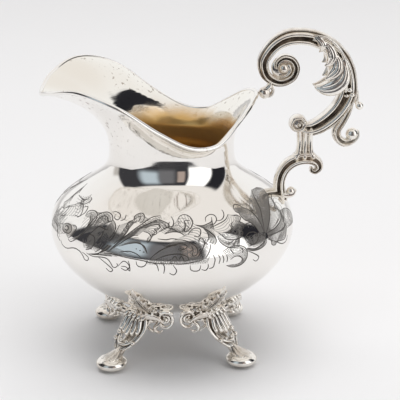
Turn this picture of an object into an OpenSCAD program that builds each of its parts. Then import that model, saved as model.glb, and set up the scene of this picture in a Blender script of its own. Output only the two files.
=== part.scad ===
// Footed cream jug of raised and cast silver, spout towards -X, handle towards +X.
// The origin is on the surface that it stands on, under the axis of the bowl.

/* [Bowl and neck] */
// Greatest radius of the bowl
belly_r = 52.7; // [44:0.1:64]
// Height of the greatest radius above the table
belly_z = 56; // [50:0.5:64]
// Height of the lowest point of the bowl above the table
base_z = 15.6; // [13:0.1:20]
// Radius of the neck at its narrowest
neck_r = 26.9; // [22:0.1:33]
// Height of the neck at its narrowest
neck_z = 92; // [86:0.5:112]
// Thickness of the silver sheet
wall = 0.9; // [0.7:0.1:1.4]

/* [Lip] */
// How far the spout's tip reaches out past the neck
spout_reach = 28; // [22:0.5:34]
// Height of the spout's tip above the neck
spout_rise = 23.4; // [18:0.2:28]
// Height of the lip's highest shoulders above the neck
crest_rise = 30.8; // [25:0.2:37]
// Height of the lip's lowest dip above the neck
dip_rise = 7; // [5.5:0.1:8.5]
// How far the lip reaches out at its handle side
back_reach = 9.6; // [8:0.1:11.6]
// Height of the lip's handle side above the neck
back_rise = 21.6; // [18:0.1:26]
// Radius of the wire along the edge of the lip
wire_r = 0.9; // [0.7:0.05:1.1]

/* [Handle] */
// Half thickness of the large scroll from side to side
scroll_depth = 4; // [3.2:0.1:4.8]
// Radius of the bead that joins the large scroll to the lip
bead_r = 2.6; // [2.2:0.1:3.2]
// Radius of the curled bud at the lower end of the large scroll
bud_r = 4.1; // [3.4:0.1:4.9]
// Radius of the bulb on the back spur
bulb_r = 3; // [2.4:0.1:3.6]
// Height of the lower scroll's seat on the shoulder of the bowl
seat_z = 67; // [64:0.5:70]

/* [Feet] */
// Distance of each toe from the two middle planes
toe_spread = 27.9; // [24:0.1:33.5]
// Radius of the toe pads
pad_r = 6.8; // [5.8:0.1:8.3]
// Half height of the toe pads
pad_h = 3.2; // [2.7:0.1:3.8]
// Radius of the flat under each toe pad
pad_flat_r = 2; // [1.6:0.1:2.4]
// Outer radius of the volutes under the bowl
volute_r = 3.9; // [3.3:0.1:4.6]

/* [Hidden] */

// ---- curves ----
function unit(v) = v / norm(v);
function tangent(p, i) = unit(p[min(i + 1, len(p) - 1)] - p[max(i - 1, 0)]);
function row(p, i) = p[max(0, min(len(p) - 1, i))];
// A smooth curve through the rows of p, with k steps from each row to the next.
function blend(a, b, c, d, t) =
    0.5 * (2 * b + (c - a) * t + (2 * a - 5 * b + 4 * c - d) * t * t
        + (3 * b - a - 3 * c + d) * t * t * t);
function smooth(p, k) = concat(
    [for (i = [0:len(p) - 2], j = [0:k - 1])
        blend(row(p, i - 1), p[i], p[i + 1], row(p, i + 2), j / k)],
    [p[len(p) - 1]]
);

// ---- the bowl's outline ----
bowl_p = 1.9;
bowl_q = 0.75;
shoulder_p = 1.45;
shoulder_q = 2;
depth = belly_z - base_z;
// Radius of the outside at a height, from the pole up to the neck
function low_r(z) = belly_r * pow(max(0, 1 - pow((belly_z - z) / depth, bowl_p)), bowl_q);
function high_r(z) =
    let (turn = 180 * pow((z - belly_z) / (neck_z - belly_z), shoulder_p))
    neck_r + (belly_r - neck_r) * pow((1 + cos(turn)) / 2, shoulder_q);
function bowl_r(z) = z < belly_z ? low_r(z) : high_r(z);
// Height of the underside of the bowl at a radius
function bowl_z(r) = belly_z - depth * pow(1 - pow(r / belly_r, 1 / bowl_q), 1 / bowl_p);

// ---- the lip ----
// Reach past the neck and height above it, every 20 degrees from the handle side to the spout
dip_reach = dip_rise * 1.15;
crest_reach = spout_reach * 0.88;
lip = [
    [back_reach, back_rise], [back_reach - 0.9, back_rise - 2], [dip_reach - 1, dip_rise + 6.2],
    [dip_reach, dip_rise + 0.1], [dip_reach + 1.4, dip_rise + 0.6],
    [spout_reach * 0.47, dip_rise + 8], [spout_reach * 0.75, crest_rise - 4.4],
    [crest_reach, crest_rise], [spout_reach * 0.965, crest_rise - 3.4], [spout_reach, spout_rise]
];
lip_step = 20;
function mirror_row(i) = i < 0 ? lip[-i] : (i > 9 ? lip[18 - i] : lip[i]);
function lip_at(a) =
    let (f = abs(a > 180 ? 360 - a : a) / lip_step, i = min(8, floor(f)))
    blend(mirror_row(i - 1), lip[i], lip[i + 1], mirror_row(i + 2), f - i);
// How far round the flare each side of the lip turns: the spout ends nearly level
side_turn = 62;
spout_turn = 78;
function flare_end(a) = side_turn + (spout_turn - side_turn) * pow((1 - cos(a)) / 2, 2);
// Outside of the flare at angle a, for f from 0 at the neck to 1 at the edge
function flare(a, f) =
    let (l = lip_at(a), e = flare_end(a))
    [neck_r + l[0] * (1 - cos(e * f)) / (1 - cos(e)), neck_z + l[1] * sin(e * f) / sin(e)];

// ---- the sheet as rings of points ----
rounds = 60;
bowl_rings = 13;
shoulder_rings = 10;
flare_rings = 9;
function outline(a) = concat(
    [for (i = [1:bowl_rings])
        let (s = sin(90 * i / bowl_rings)) [belly_r * s, bowl_z(belly_r * s)]],
    [for (i = [1:shoulder_rings])
        let (z = belly_z + (neck_z - belly_z) * i / shoulder_rings) [bowl_r(z), z]],
    [for (i = [1:flare_rings]) flare(a, i / flare_rings)]
);
function inward(p, i, d) = let (t = tangent(p, i)) p[i] + d * [-t[1], t[0]];
function ring_point(p, a) = [p[0] * cos(a), p[0] * sin(a), p[1]];
rings = bowl_rings + shoulder_rings + flare_rings;

module sheet_metal() {
    outer = [for (j = [0:rounds - 1]) outline(360 * j / rounds)];
    inner = [for (o = outer) [for (i = [0:rings - 1]) inward(o, i, wall)]];
    points = concat(
        [for (i = [0:rings - 1], j = [0:rounds - 1]) ring_point(outer[j][i], 360 * j / rounds)],
        [for (i = [0:rings - 1], j = [0:rounds - 1]) ring_point(inner[j][i], 360 * j / rounds)],
        [[0, 0, base_z], [0, 0, base_z + wall]]
    );
    in = rings * rounds;
    pole = 2 * in;
    function nxt(j) = (j + 1) % rounds;
    faces = concat(
        [for (i = [0:rings - 2], j = [0:rounds - 1])
            [i * rounds + j, (i + 1) * rounds + j, (i + 1) * rounds + nxt(j), i * rounds + nxt(j)]],
        [for (i = [0:rings - 2], j = [0:rounds - 1])
            [in + i * rounds + nxt(j), in + (i + 1) * rounds + nxt(j),
             in + (i + 1) * rounds + j, in + i * rounds + j]],
        [for (j = [0:rounds - 1])
            [(rings - 1) * rounds + j, in + (rings - 1) * rounds + j,
             in + (rings - 1) * rounds + nxt(j), (rings - 1) * rounds + nxt(j)]],
        [for (j = [0:rounds - 1]) [pole, j, nxt(j)]],
        [for (j = [0:rounds - 1]) [pole + 1, in + nxt(j), in + j]]
    );
    polyhedron(points, faces);
}

// The outside of bowl and shoulder as a full solid, which castings are saddled to
module bowl_solid() {
    rotate_extrude($fn = rounds)
        polygon(concat(
            [[0, base_z]],
            [for (i = [1:bowl_rings])
                let (s = sin(90 * i / bowl_rings)) [belly_r * s, bowl_z(belly_r * s)]],
            [for (i = [1:shoulder_rings])
                let (z = belly_z + (neck_z - belly_z) * i / shoulder_rings) [bowl_r(z), z]],
            [[0, neck_z]]
        ));
}

// ---- swept castings ----
// A closed bar along rows of [x, y, z, half width, half depth]. The depth lies along side.
module bar(p, sides, side) {
    n = len(p);
    pts = [for (i = [0:n - 1])
        let (c = [p[i][0], p[i][1], p[i][2]],
             a = row(p, i - 1), b = row(p, i + 1),
             t = unit([b[0] - a[0], b[1] - a[1], b[2] - a[2]]),
             v = unit(side - t * (side * t)), u = cross(v, t))
        for (k = [0:sides - 1])
            let (w = 360 * (k + 0.5) / sides)
            c + u * p[i][3] * cos(w) + v * p[i][4] * sin(w)];
    polyhedron(pts, concat(
        [[for (k = [0:sides - 1]) k]],
        [for (i = [0:n - 2], k = [0:sides - 1])
            let (m = (k + 1) % sides)
            [i * sides + k, (i + 1) * sides + k, (i + 1) * sides + m, i * sides + m]],
        [[for (k = [sides - 1:-1:0]) (n - 1) * sides + k]]
    ));
}

// ---- handle ----
// Its two anchors: where the bead meets the wire, and where the lower scroll sits
lip_x = neck_r + back_reach + wire_r;
lip_z = neck_z + back_rise;
seat_x = bowl_r(seat_z);
drop = 46.6;
lean = 11.5;
// Handle rows are [out from the bead's anchor, up from it, half width, half depth].
// Below the anchor they stretch and lean so that the foot stays on its seat.
function place(p) = [
    lip_x + p[0] - min(0, p[1]) / drop * (seat_x - lip_x - lean), 0,
    lip_z + (p[1] < 0 ? p[1] * (lip_z - seat_z) / drop : p[1]), p[2], p[3]
];
side_y = [0, 1, 0];
module arm(p, k, sides) { bar([for (q = smooth(p, k)) place(q)], sides, side_y); }
module at(x, z) { translate([place([x, z, 0, 0])[0], 0, place([x, z, 0, 0])[2]]) children(); }

eye_x = 10.4;
eye_z = 10.9;
eye_r = 2;
d = scroll_depth;
// The spiral round the eye: angle, radius of the middle line, half width
spiral = [
    [165, 9.2, 2.6], [200, 8.1, 2.3], [235, 6.9, 2], [270, 6.1, 1.8], [315, 5.6, 1.7],
    [360, 5.4, 1.6], [405, 5.1, 1.5], [450, 4.7, 1.3], [495, 4, 1.1], [530, 3.2, 0.9]
];
main_rows = concat(
    [
        [20.4, -15.9, 3, 0.8 * d], [23.4, -15.8, 3.5, 0.85 * d], [27.4, -13.9, 3.8, 0.95 * d],
        [31.7, -10.6, 4, d], [35.5, -6.2, 4.1, d], [38.1, -0.4, 4.2, d], [38.1, 5.8, 4.1, d],
        [36.4, 11.8, 4, d], [32.9, 17.2, 3.9, d], [27.9, 21.4, 3.8, d], [22.7, 23.6, 3.7, d],
        [17.3, 24.4, 3.7, 0.95 * d], [11.9, 24, 3.6, 0.95 * d], [7.1, 21.6, 3.2, 0.9 * d],
        [3.5, 17.8, 2.9, 0.85 * d]
    ],
    [for (s = spiral) [eye_x + s[1] * cos(s[0]), eye_z + s[1] * sin(s[0]), s[2], 0.75 * d]]
);
module main_scroll() { color("silver") arm(main_rows, 3, 12); }

// A round-edged boss of radius r and half thickness h, across the handle
module boss(x, z, r, h) {
    edge = min(h * 0.6, r / 2);
    at(x, z) rotate([90, 0, 0]) rotate_extrude($fn = 48) union() {
        translate([r - edge, 0]) circle(r = edge, $fn = 32);
        translate([0, -h]) square([r - edge, 2 * h]);
    }
}

web_r = 5.7;
web_half = 1.4;
module volute_eye() {
    color("silver") difference() {
        at(eye_x, eye_z) rotate([90, 0, 0]) union() {
            cylinder(r = eye_r, h = 1.5 * d, center = true, $fn = 48);
            cylinder(r = web_r, h = 2 * web_half, center = true, $fn = 64);
        }
        main_scroll();
    }
}

module leaf() {
    rows = [
        [27, 18, 0.7, 1.6], [29.6, 15.2, 1.9, 2.8], [31.4, 11, 2.6, 3.8], [31.6, 6, 2.8, 4.2],
        [30.7, 1.8, 2.9, 4.2], [27.8, -0.5, 2, 3.4], [24.2, 0.7, 0.5, 1.2]
    ];
    color("silver") difference() {
        arm(rows, 3, 12);
        main_scroll();
    }
}

module rim_bead() {
    link = [[2.6, 1.6, 1.3, 1.8], [4.2, 3.2, 1.3, 2], [4.6, 5.2, 1, 2]];
    color("silver") difference() {
        union() {
            at(bead_r - 0.3, 0.2) sphere(r = bead_r, $fn = 32);
            arm(link, 3, 12);
        }
        main_scroll();
        rim_wire();
    }
}

module small_spur() {
    rows = [[41.2, 2, 0.7, 1.5], [42.1, -1.5, 1.1, 1.7], [42.3, -4.6, 1, 1.5], [43, -6, 0.8, 1.2]];
    color("silver") difference() {
        union() {
            arm(rows, 3, 12);
            at(43.6, -6.4) sphere(r = 1.8, $fn = 32);
        }
        main_scroll();
    }
}

module back_spur() {
    rows = [
        [40, -3.4, 1.2, 2.4], [38.6, -8, 1.8, 2.9], [36.2, -12.8, 2.1, 3.1],
        [33.9, -16.8, 2.1, 3], [34.5, -20.4, 2, 2.9], [37.3, -22.5, 1.9, 2.8],
        [40.6, -21.9, 1.7, 2.7]
    ];
    color("silver") difference() {
        union() {
            arm(rows, 3, 12);
            at(40.8, -18.9) sphere(r = bulb_r, $fn = 32);
        }
        main_scroll();
    }
}

module bud() {
    color("silver") difference() {
        boss(17, -13.6, bud_r, 0.8 * d);
        main_scroll();
    }
}

strut_half = 3.6;
module strut() {
    lobe = strut_half / 2;
    top = place([20.2, -16.6, 0, 0]);
    foot = place([20.2, -29, 0, 0]);
    color("silver") difference() {
        union()
            for (s = [-1:1])
                translate([top[0] + s * lobe, 0, foot[2]])
                    cylinder(r = lobe * 1.05, h = top[2] - foot[2], $fn = 32);
        main_scroll();
        bud();
        lower_scroll();
    }
}

lower_rows = [
    [10.2, -47.6, 3.1, 3.2], [9.5, -43.5, 2.7, 2.9], [9.5, -39.2, 2.6, 2.8],
    [10.8, -35, 2.6, 2.8], [13.8, -31.5, 2.7, 2.8], [18.2, -29.6, 2.7, 2.8],
    [22.6, -29.5, 2.6, 2.8], [25.9, -31.1, 2.1, 2.7], [26.8, -33.8, 1.5, 2.5],
    [25.1, -35.5, 1.2, 2.3], [23.6, -34.2, 0.9, 2]
];
module lower_arm() { arm(lower_rows, 3, 12); }
module lower_scroll() {
    color("silver") difference() {
        lower_arm();
        bowl_solid();
    }
}

module lower_terminal() {
    rows = [[10.6, -45.6, 1.6, 2.2], [13, -46, 1.5, 2.2], [14.8, -45.2, 1.4, 2.1]];
    color("silver") difference() {
        union() {
            arm(rows, 3, 12);
            at(14.6, -44.2) sphere(r = 2.1, $fn = 32);
        }
        lower_arm();
        bowl_solid();
    }
}

// ---- rim wire ----
wire_sides = 8;
module rim_wire() {
    lift = sqrt(wire_r * wire_r - wall * wall / 4);
    start = asin(wall / 2 / wire_r);
    pts = [for (j = [0:rounds - 1])
        let (a = 360 * j / rounds, e = flare(a, 1), b = flare(a, 0.95),
             t = unit(e - b), n = [-t[1], t[0]], c = e + n * wall / 2)
        for (k = [0:wire_sides])
            let (w = start + (360 - 2 * start) * k / wire_sides)
            ring_point(c + n * wire_r * sin(w) + t * (lift - wire_r * cos(w)), a)];
    m = wire_sides + 1;
    color("silver") polyhedron(pts, [for (j = [0:rounds - 1], k = [0:wire_sides])
        let (j2 = (j + 1) % rounds, k2 = (k + 1) % m)
        [j * m + k, j2 * m + k, j2 * m + k2, j * m + k2]]);
}

// ---- feet, drawn in the corner where x and y are positive ----
leaf_angle = 66.5;
wing_ring = 28.6;
wing_z = bowl_z(wing_ring) - volute_r;
gap_half = 0.5;
wing_tilt = 108;
wing_end = asin((volute_r + gap_half) / wing_ring);

// The pad is an oblate bun, cut flat where it stands
flat_angle = acos(pad_flat_r / pad_r);
pad_z = pad_h * sin(flat_angle);
bun_steps = 20;
module pad() {
    color("silver") translate([toe_spread, toe_spread, pad_z]) rotate_extrude($fn = 64)
        polygon(concat([[0, -pad_z]], [for (i = [0:bun_steps])
            let (a = -flat_angle + (90 + flat_angle) * i / bun_steps)
            [i == bun_steps ? 0 : pad_r * cos(a), pad_h * sin(a)]]));
}

// The hip, where the leg meets the bowl
hip_x = 14.9;
hip_y = 21.5;
hip_z = bowl_z(norm([hip_x, hip_y]));
// A point of the leg: its shares of the way from the hip out to the toe, and of the way up
function leg_row(out_x, out_y, up, half_width, half_depth) = [
    hip_x + (toe_spread - hip_x) * out_x, hip_y + (toe_spread - hip_y) * out_y,
    pad_z + (hip_z - pad_z) * up, half_width, half_depth
];
module leg() {
    rows = [
        leg_row(0.892, 0.844, 0.073, 2.9, 3.4), leg_row(0.662, 0.625, 0.275, 2.3, 2.9),
        leg_row(0.385, 0.469, 0.486, 3.2, 5.4), leg_row(0.185, 0.313, 0.688, 3.3, 6.2),
        leg_row(0, 0, 0.977, 3, 5), leg_row(-0.108, -0.25, 1.115, 2.4, 4)
    ];
    color("silver") difference() {
        bar(smooth(rows, 3), 12, [-1, 1, 0]);
        bowl_solid();
        pad();
    }
}

crest_from = 23;
crest_to = 48;
module crest() {
    rows = [for (f = [0:0.125:1])
        let (r = crest_from + (crest_to - crest_from) * f, z = bowl_z(r))
        [r * cos(leaf_angle), r * sin(leaf_angle), z - 0.3,
         0.7 + 1.1 * sin(160 * f + 20), 0.6 + 3.3 * sin(170 * f + 8)]];
    color("silver") difference() {
        bar(rows, 10, [-sin(leaf_angle), cos(leaf_angle), 0]);
        bowl_solid();
        leg();
    }
}

wing_rows = 5;
// One wing of scrollwork with its volute, from the angle of its root at the leg
module wing(root) {
    a1 = 90 - wing_end;
    rows = [for (k = [0:wing_rows])
        let (a = root + (a1 - 3 - root) * k / wing_rows)
        [wing_ring * cos(a), wing_ring * sin(a), wing_z + 1.2, 1.4, 2.2]];
    bar(rows, 10, [0, 0, 1]);
    translate([wing_ring * cos(a1), wing_ring * sin(a1), wing_z])
        rotate([0, 0, a1]) rotate([0, wing_tilt, 0])
        rotate_extrude($fn = 48) {
            translate([volute_r - 1.3, 0]) circle(r = 1.3, $fn = 24);
            translate([0, -0.9]) square([volute_r - 1.3, 1.8]);
        }
}
side_root = 48;
module bracket() {
    color("silver") difference() {
        union() {
            wing(atan2(hip_y, hip_x));
            mirror([1, -1, 0]) wing(side_root);
        }
        bowl_solid();
        leg();
        crest();
    }
}
module corner(x, y) { mirror([x < 0 ? 1 : 0, 0, 0]) mirror([0, y < 0 ? 1 : 0, 0]) children(); }

module body() { color("silver") sheet_metal(); }

body();
rim_wire();
main_scroll();  // handle_main_scroll
volute_eye();  // handle_volute_eye
leaf();  // handle_leaf
rim_bead();  // handle_rim_bead
small_spur();  // handle_small_spur
back_spur();  // handle_back_spur
bud();  // handle_bud
strut();  // handle_strut
lower_scroll();  // handle_lower_scroll
lower_terminal();  // handle_lower_terminal
corner(-1, -1) crest();  // front_left_leaf
corner(-1, -1) bracket();  // front_left_bracket
corner(-1, -1) leg();  // front_left_leg
corner(-1, -1) pad();  // front_left_pad
corner(1, -1) crest();  // front_right_leaf
corner(1, -1) bracket();  // front_right_bracket
corner(1, -1) leg();  // front_right_leg
corner(1, -1) pad();  // front_right_pad
corner(-1, 1) crest();  // back_left_leaf
corner(-1, 1) bracket();  // back_left_bracket
corner(-1, 1) leg();  // back_left_leg
corner(-1, 1) pad();  // back_left_pad
corner(1, 1) crest();  // back_right_leaf
corner(1, 1) bracket();  // back_right_bracket
corner(1, 1) leg();  // back_right_leg
corner(1, 1) pad();  // back_right_pad
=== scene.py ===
# %% [markdown]
# # A silver cream jug on four cast feet
#
# A silversmith raises the body from one round sheet, so it has no seam. The lip is drawn out into a
# wide spout and edged with wire, the handle and feet are cast in pieces and soldered on, the band
# round the bowl is cut with a graver, and the inside is gilt. The frame that is loaded here holds
# the plain solids of all these pieces. This script gives each one its real surface and finish.

# %% Load the frame
import math

import bmesh
import bpy
import numpy as np
from mathutils import Matrix, Vector


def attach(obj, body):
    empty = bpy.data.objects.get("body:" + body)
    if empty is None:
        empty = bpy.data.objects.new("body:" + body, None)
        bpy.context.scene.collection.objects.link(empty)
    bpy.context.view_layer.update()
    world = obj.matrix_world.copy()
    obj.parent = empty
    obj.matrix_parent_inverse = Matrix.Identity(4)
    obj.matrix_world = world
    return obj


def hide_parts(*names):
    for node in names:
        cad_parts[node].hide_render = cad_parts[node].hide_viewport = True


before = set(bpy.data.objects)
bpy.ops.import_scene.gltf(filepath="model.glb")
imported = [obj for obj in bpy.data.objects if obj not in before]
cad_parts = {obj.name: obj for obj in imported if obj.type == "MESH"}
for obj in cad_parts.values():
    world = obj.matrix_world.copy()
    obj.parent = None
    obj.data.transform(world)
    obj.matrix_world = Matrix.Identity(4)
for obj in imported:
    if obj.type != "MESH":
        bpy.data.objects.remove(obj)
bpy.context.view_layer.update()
print("frame nodes:", len(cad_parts))

# %% [markdown]
# ## Camera
#
# The camera comes first, so that every later piece can be looked at. A long lens from a little over
# half a metre keeps the jug's proportions calm, as a product picture does. It is aimed at the middle
# of the jug with its handle, and looks down by less than twenty degrees.

# %% Camera
MM = 0.001
CAMERA_AIM = Vector((12.2, 0.0, 66.2)) * MM
CAMERA_DISTANCE = 610.4 * MM
CAMERA_AZIMUTH = math.radians(-4.4)
CAMERA_ELEVATION = math.radians(18.6)

away = Vector((
    math.sin(CAMERA_AZIMUTH) * math.cos(CAMERA_ELEVATION),
    -math.cos(CAMERA_AZIMUTH) * math.cos(CAMERA_ELEVATION),
    math.sin(CAMERA_ELEVATION),
))
camera = bpy.data.objects.new("camera", bpy.data.cameras.new("camera"))
camera.data.lens = 126
camera.data.sensor_width = 36
camera.data.clip_start = 0.01
camera.location = CAMERA_AIM + away * CAMERA_DISTANCE
camera.rotation_euler = away.to_track_quat("Z", "Y").to_euler()
bpy.context.collection.objects.link(camera)
bpy.context.scene.camera = camera
print("camera at", [round(value, 3) for value in camera.location])

# %% [markdown]
# ## Node helpers
#
# Materials and the studio light are built from nodes. `put` adds a node and fills its sockets: a
# socket given another node's output is linked, and any other value is set on it. With it, each
# material below reads as a short list.

# %% Node helpers


def put(tree, kind, inputs=None, **settings):
    """Adds a node; inputs are values or sockets to link."""
    made = tree.nodes.new(kind)
    for name, value in settings.items():
        setattr(made, name, value)
    for name, value in (inputs or {}).items():
        if isinstance(value, bpy.types.NodeSocket):
            tree.links.new(value, made.inputs[name])
        else:
            made.inputs[name].default_value = value
    return made


def maths(tree, operation, first, second=0.0, third=0.0):
    """The value of one sum."""
    inputs = {0: first, 1: second, 2: third}
    return put(tree, "ShaderNodeMath", inputs, operation=operation).outputs[0]


def ramp(tree, value, low, high, to_low=0.0, to_high=1.0):
    """value from low to high becomes to_low to to_high, eased at both ends."""
    inputs = {"Value": value, "From Min": low, "From Max": high, "To Min": to_low, "To Max": to_high}
    made = put(tree, "ShaderNodeMapRange", inputs, interpolation_type="SMOOTHSTEP")
    return made.outputs["Result"]


def mix_colour(tree, factor, first, second):
    """first where factor is 0, second where it is 1."""
    inputs = {0: factor, 6: first, 7: second}
    return put(tree, "ShaderNodeMix", inputs, data_type="RGBA").outputs[2]


def noise(tree, vector, scale, detail=3.0, roughness=0.5):
    """Cloudy values round 0.5."""
    inputs = {"Vector": vector, "Scale": scale, "Detail": detail, "Roughness": roughness}
    return put(tree, "ShaderNodeTexNoise", inputs).outputs[0]


def new_group(name, inputs, outputs):
    """An empty node group with the given sockets, and its two end nodes."""
    group = bpy.data.node_groups.new(name, "ShaderNodeTree")
    for label, kind in inputs.items():
        group.interface.new_socket(label, in_out="INPUT", socket_type=kind)
    for label, kind in outputs.items():
        group.interface.new_socket(label, in_out="OUTPUT", socket_type=kind)
    start = group.nodes.new("NodeGroupInput").outputs
    end = group.nodes.new("NodeGroupOutput").inputs
    return group, start, end


def use_group(tree, group, inputs):
    """The outputs of a group, placed in a material with its own values."""
    made = tree.nodes.new("ShaderNodeGroup")
    made.node_tree = group
    for name, value in inputs.items():
        if isinstance(value, bpy.types.NodeSocket):
            tree.links.new(value, made.inputs[name])
        else:
            made.inputs[name].default_value = value
    return made.outputs


# %% [markdown]
# ## The studio
#
# Polished silver has hardly any colour of its own: it shows the room. So the room is the first
# material. Round a jug on a white table there is white paper behind and beside it and a bright
# ceiling, and the dark half of the room is on the camera's side, with a window to the left, a soft
# box to the right and a dark flag beside it. All of this could be built from panels and lamps. A
# world made of a few soft-edged panels on the sky does the same, casts soft light and has no noise.

# %% The world as a studio
FLOAT, VECTOR, COLOUR = "NodeSocketFloat", "NodeSocketVector", "NodeSocketColor"


def panel(tree, sky, side, height, colour, left, right, low, high, soft=3.0, strength=1.0):
    """Lays a panel over the sky: side and height are angles, 0 towards the camera and level."""
    mask = ramp(tree, side, left - soft, left + soft)
    mask = maths(tree, "MULTIPLY", mask, ramp(tree, side, right - soft, right + soft, 1.0, 0.0))
    mask = maths(tree, "MULTIPLY", mask, ramp(tree, height, low - soft, low + soft))
    mask = maths(tree, "MULTIPLY", mask, ramp(tree, height, high - soft, high + soft, 1.0, 0.0))
    mask = maths(tree, "MULTIPLY", mask, strength)
    return mix_colour(tree, mask, sky, (*colour, 1.0))


WHITE_PAPER = (0.93, 0.93, 0.93)
CEILING = (0.86, 0.83, 0.80)
DARK_ROOM = (0.045, 0.045, 0.05)
SOFTENED = (0.80, 0.78, 0.75)
PANELS = (
    # colour, left, right, low, high, softness, strength
    ((0.34, 0.31, 0.28), -124, -104, -20, 20, 5.0, 0.7),
    (DARK_ROOM, -110, 104, -34, 54, 3.0, 1.0),
    ((0.50, 0.58, 0.64), -62, -26, -4, 46, 9.0, 1.0),
    ((0.16, 0.16, 0.17), -26, 2, -10, 44, 6.0, 1.0),
    ((0.42, 0.34, 0.30), 7, 20, -6, 40, 2.5, 1.0),
    ((1.35, 1.35, 1.35), 27, 71, -14, 54, 3.0, 1.0),
    ((0.02, 0.02, 0.025), 74, 104, -14, 50, 1.5, 1.0),
)

world = bpy.data.worlds.new("studio")
bpy.context.scene.world = world
world.use_nodes = True
studio = world.node_tree
studio.nodes.clear()
direction = put(studio, "ShaderNodeTexCoord").outputs["Generated"]
axes = put(studio, "ShaderNodeSeparateXYZ", {"Vector": direction}).outputs
turn = maths(studio, "ARCTAN2", axes["X"], maths(studio, "MULTIPLY", axes["Y"], -1.0))
side = maths(studio, "DEGREES", turn)
height = maths(studio, "DEGREES", maths(studio, "ARCSINE", axes["Z"]))
sky = mix_colour(studio, ramp(studio, height, 20, 60), (*WHITE_PAPER, 1.0), (*CEILING, 1.0))
for colour, left, right, low, high, soft, strength in PANELS:
    sky = panel(studio, sky, side, height, colour, left, right, low, high, soft, strength)
# After two mirrors in a row the room is mostly ceiling and paper, so it is evened out there
deep = ramp(studio, put(studio, "ShaderNodeLightPath").outputs["Glossy Depth"], 1.2, 1.8, 0.0, 0.92)
sky = mix_colour(studio, deep, sky, (*SOFTENED, 1.0))
seen = put(studio, "ShaderNodeLightPath").outputs["Is Camera Ray"]
sky = mix_colour(studio, seen, sky, (0.78, 0.78, 0.78, 1.0))
light = put(studio, "ShaderNodeBackground", {"Color": sky, "Strength": 1.05})
put(studio, "ShaderNodeOutputWorld", {"Surface": light.outputs["Background"]})
bpy.context.scene.view_settings.view_transform = "Standard"
print("studio panels:", len(PANELS))

# %% [markdown]
# ## Floor and lamp
#
# The jug stands on a pale sheet of paper. It lies flat and curves up a little at the back, so that
# from a raised angle no edge shows behind the jug. One large lamp overhead makes the soft shadow
# under the bowl that tells the eye where the feet stand.

# %% Floor and lamp
FLOOR_HALF_WIDTH = 1.4
FLOOR_FRONT = -0.27
FLOOR_BACK = 1.5
COVE_RADIUS = 1.5
COVE_STEPS = 5
COVE_STEP_DEGREES = 6


def make_floor():
    bm = bmesh.new()
    edge = [bm.verts.new((x, FLOOR_FRONT, 0)) for x in (-FLOOR_HALF_WIDTH, FLOOR_HALF_WIDTH)]
    strip = [bm.edges.new(edge)]
    places = [(FLOOR_BACK, 0.0)]
    for step in range(1, COVE_STEPS + 1):
        angle = math.radians(COVE_STEP_DEGREES * step)
        rise = COVE_RADIUS * (1 - math.cos(angle))
        places.append((FLOOR_BACK + COVE_RADIUS * math.sin(angle), rise))
    for y, z in places:
        made = bmesh.ops.extrude_edge_only(bm, edges=strip)["geom"]
        for item in made:
            if isinstance(item, bmesh.types.BMVert):
                item.co = (item.co.x, y, z)
        fresh = {item for item in made if isinstance(item, bmesh.types.BMVert)}
        strip = [
            item for item in made
            if isinstance(item, bmesh.types.BMEdge) and set(item.verts) <= fresh
        ]
    bmesh.ops.recalc_face_normals(bm, faces=bm.faces)
    mesh = bpy.data.meshes.new("floor")
    bm.to_mesh(mesh)
    bm.free()
    mesh.shade_smooth()
    floor = bpy.data.objects.new("floor", mesh)
    bpy.context.collection.objects.link(floor)
    return floor


def paper():
    material = bpy.data.materials.new("paper")
    material.use_nodes = True
    tree = material.node_tree
    shader = tree.nodes["Principled BSDF"]
    place = put(tree, "ShaderNodeTexCoord").outputs["Object"]
    tone = mix_colour(tree, noise(tree, place, 3.0), (0.80, 0.80, 0.81, 1), (0.83, 0.83, 0.84, 1))
    tree.links.new(tone, shader.inputs["Base Color"])
    shader.inputs["Roughness"].default_value = 0.85
    shader.inputs["Specular IOR Level"].default_value = 0.2
    return material


floor = make_floor()
floor.data.materials.append(paper())

lamp = bpy.data.objects.new("top_lamp", bpy.data.lights.new("top_lamp", "AREA"))
lamp.data.shape = "DISK"
lamp.data.size = 1.4
lamp.data.energy = 13.0
lamp.location = (0.0, -0.1, 1.6)
lamp.visible_glossy = False
bpy.context.collection.objects.link(lamp)
print("floor from", FLOOR_FRONT, "to", FLOOR_BACK)

# %% [markdown]
# ## Effects that the finishes share
#
# Three things are laid on the silver. Polishing leaves fine hairlines. Air leaves specks and clouds
# of tarnish. The hollows of a casting are darkened, partly by black that is never polished out and
# partly by painted shade, which is what makes the relief readable. Each effect is one node group
# with its own inputs, so every material can take it at its own strength.

# %% Shared node groups


def hairlines():
    """A height with fine polishing lines in two directions."""
    group, given, result = new_group(
        "hairlines", {"Vector": VECTOR, "Scale": FLOAT}, {"Height": FLOAT})
    lines = []
    for turned, stretch in (((0.2, 0.1, 0.6), (1, 14, 1)), ((0.9, 0.5, 0.1), (12, 1, 2))):
        inputs = {"Vector": given["Vector"], "Rotation": turned, "Scale": stretch}
        laid = put(group, "ShaderNodeMapping", inputs).outputs["Vector"]
        lines.append(noise(group, laid, given["Scale"], 2.0, 0.6))
    group.links.new(maths(group, "ADD", lines[0], lines[1]), result["Height"])
    return group


def tarnish():
    """A mask of clouds, and a mask of small specks inside them."""
    group, given, result = new_group(
        "tarnish", {"Vector": VECTOR, "Cloud Scale": FLOAT, "Speck Scale": FLOAT},
        {"Clouds": FLOAT, "Specks": FLOAT})
    clouds = noise(group, given["Vector"], given["Cloud Scale"], 4.0, 0.6)
    specks = noise(group, given["Vector"], given["Speck Scale"], 2.0, 0.5)
    cloud_mask = ramp(group, clouds, 0.42, 0.68)
    group.links.new(cloud_mask, result["Clouds"])
    speck_mask = maths(group, "MULTIPLY", ramp(group, specks, 0.61, 0.70), cloud_mask)
    group.links.new(speck_mask, result["Specks"])
    return group


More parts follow.
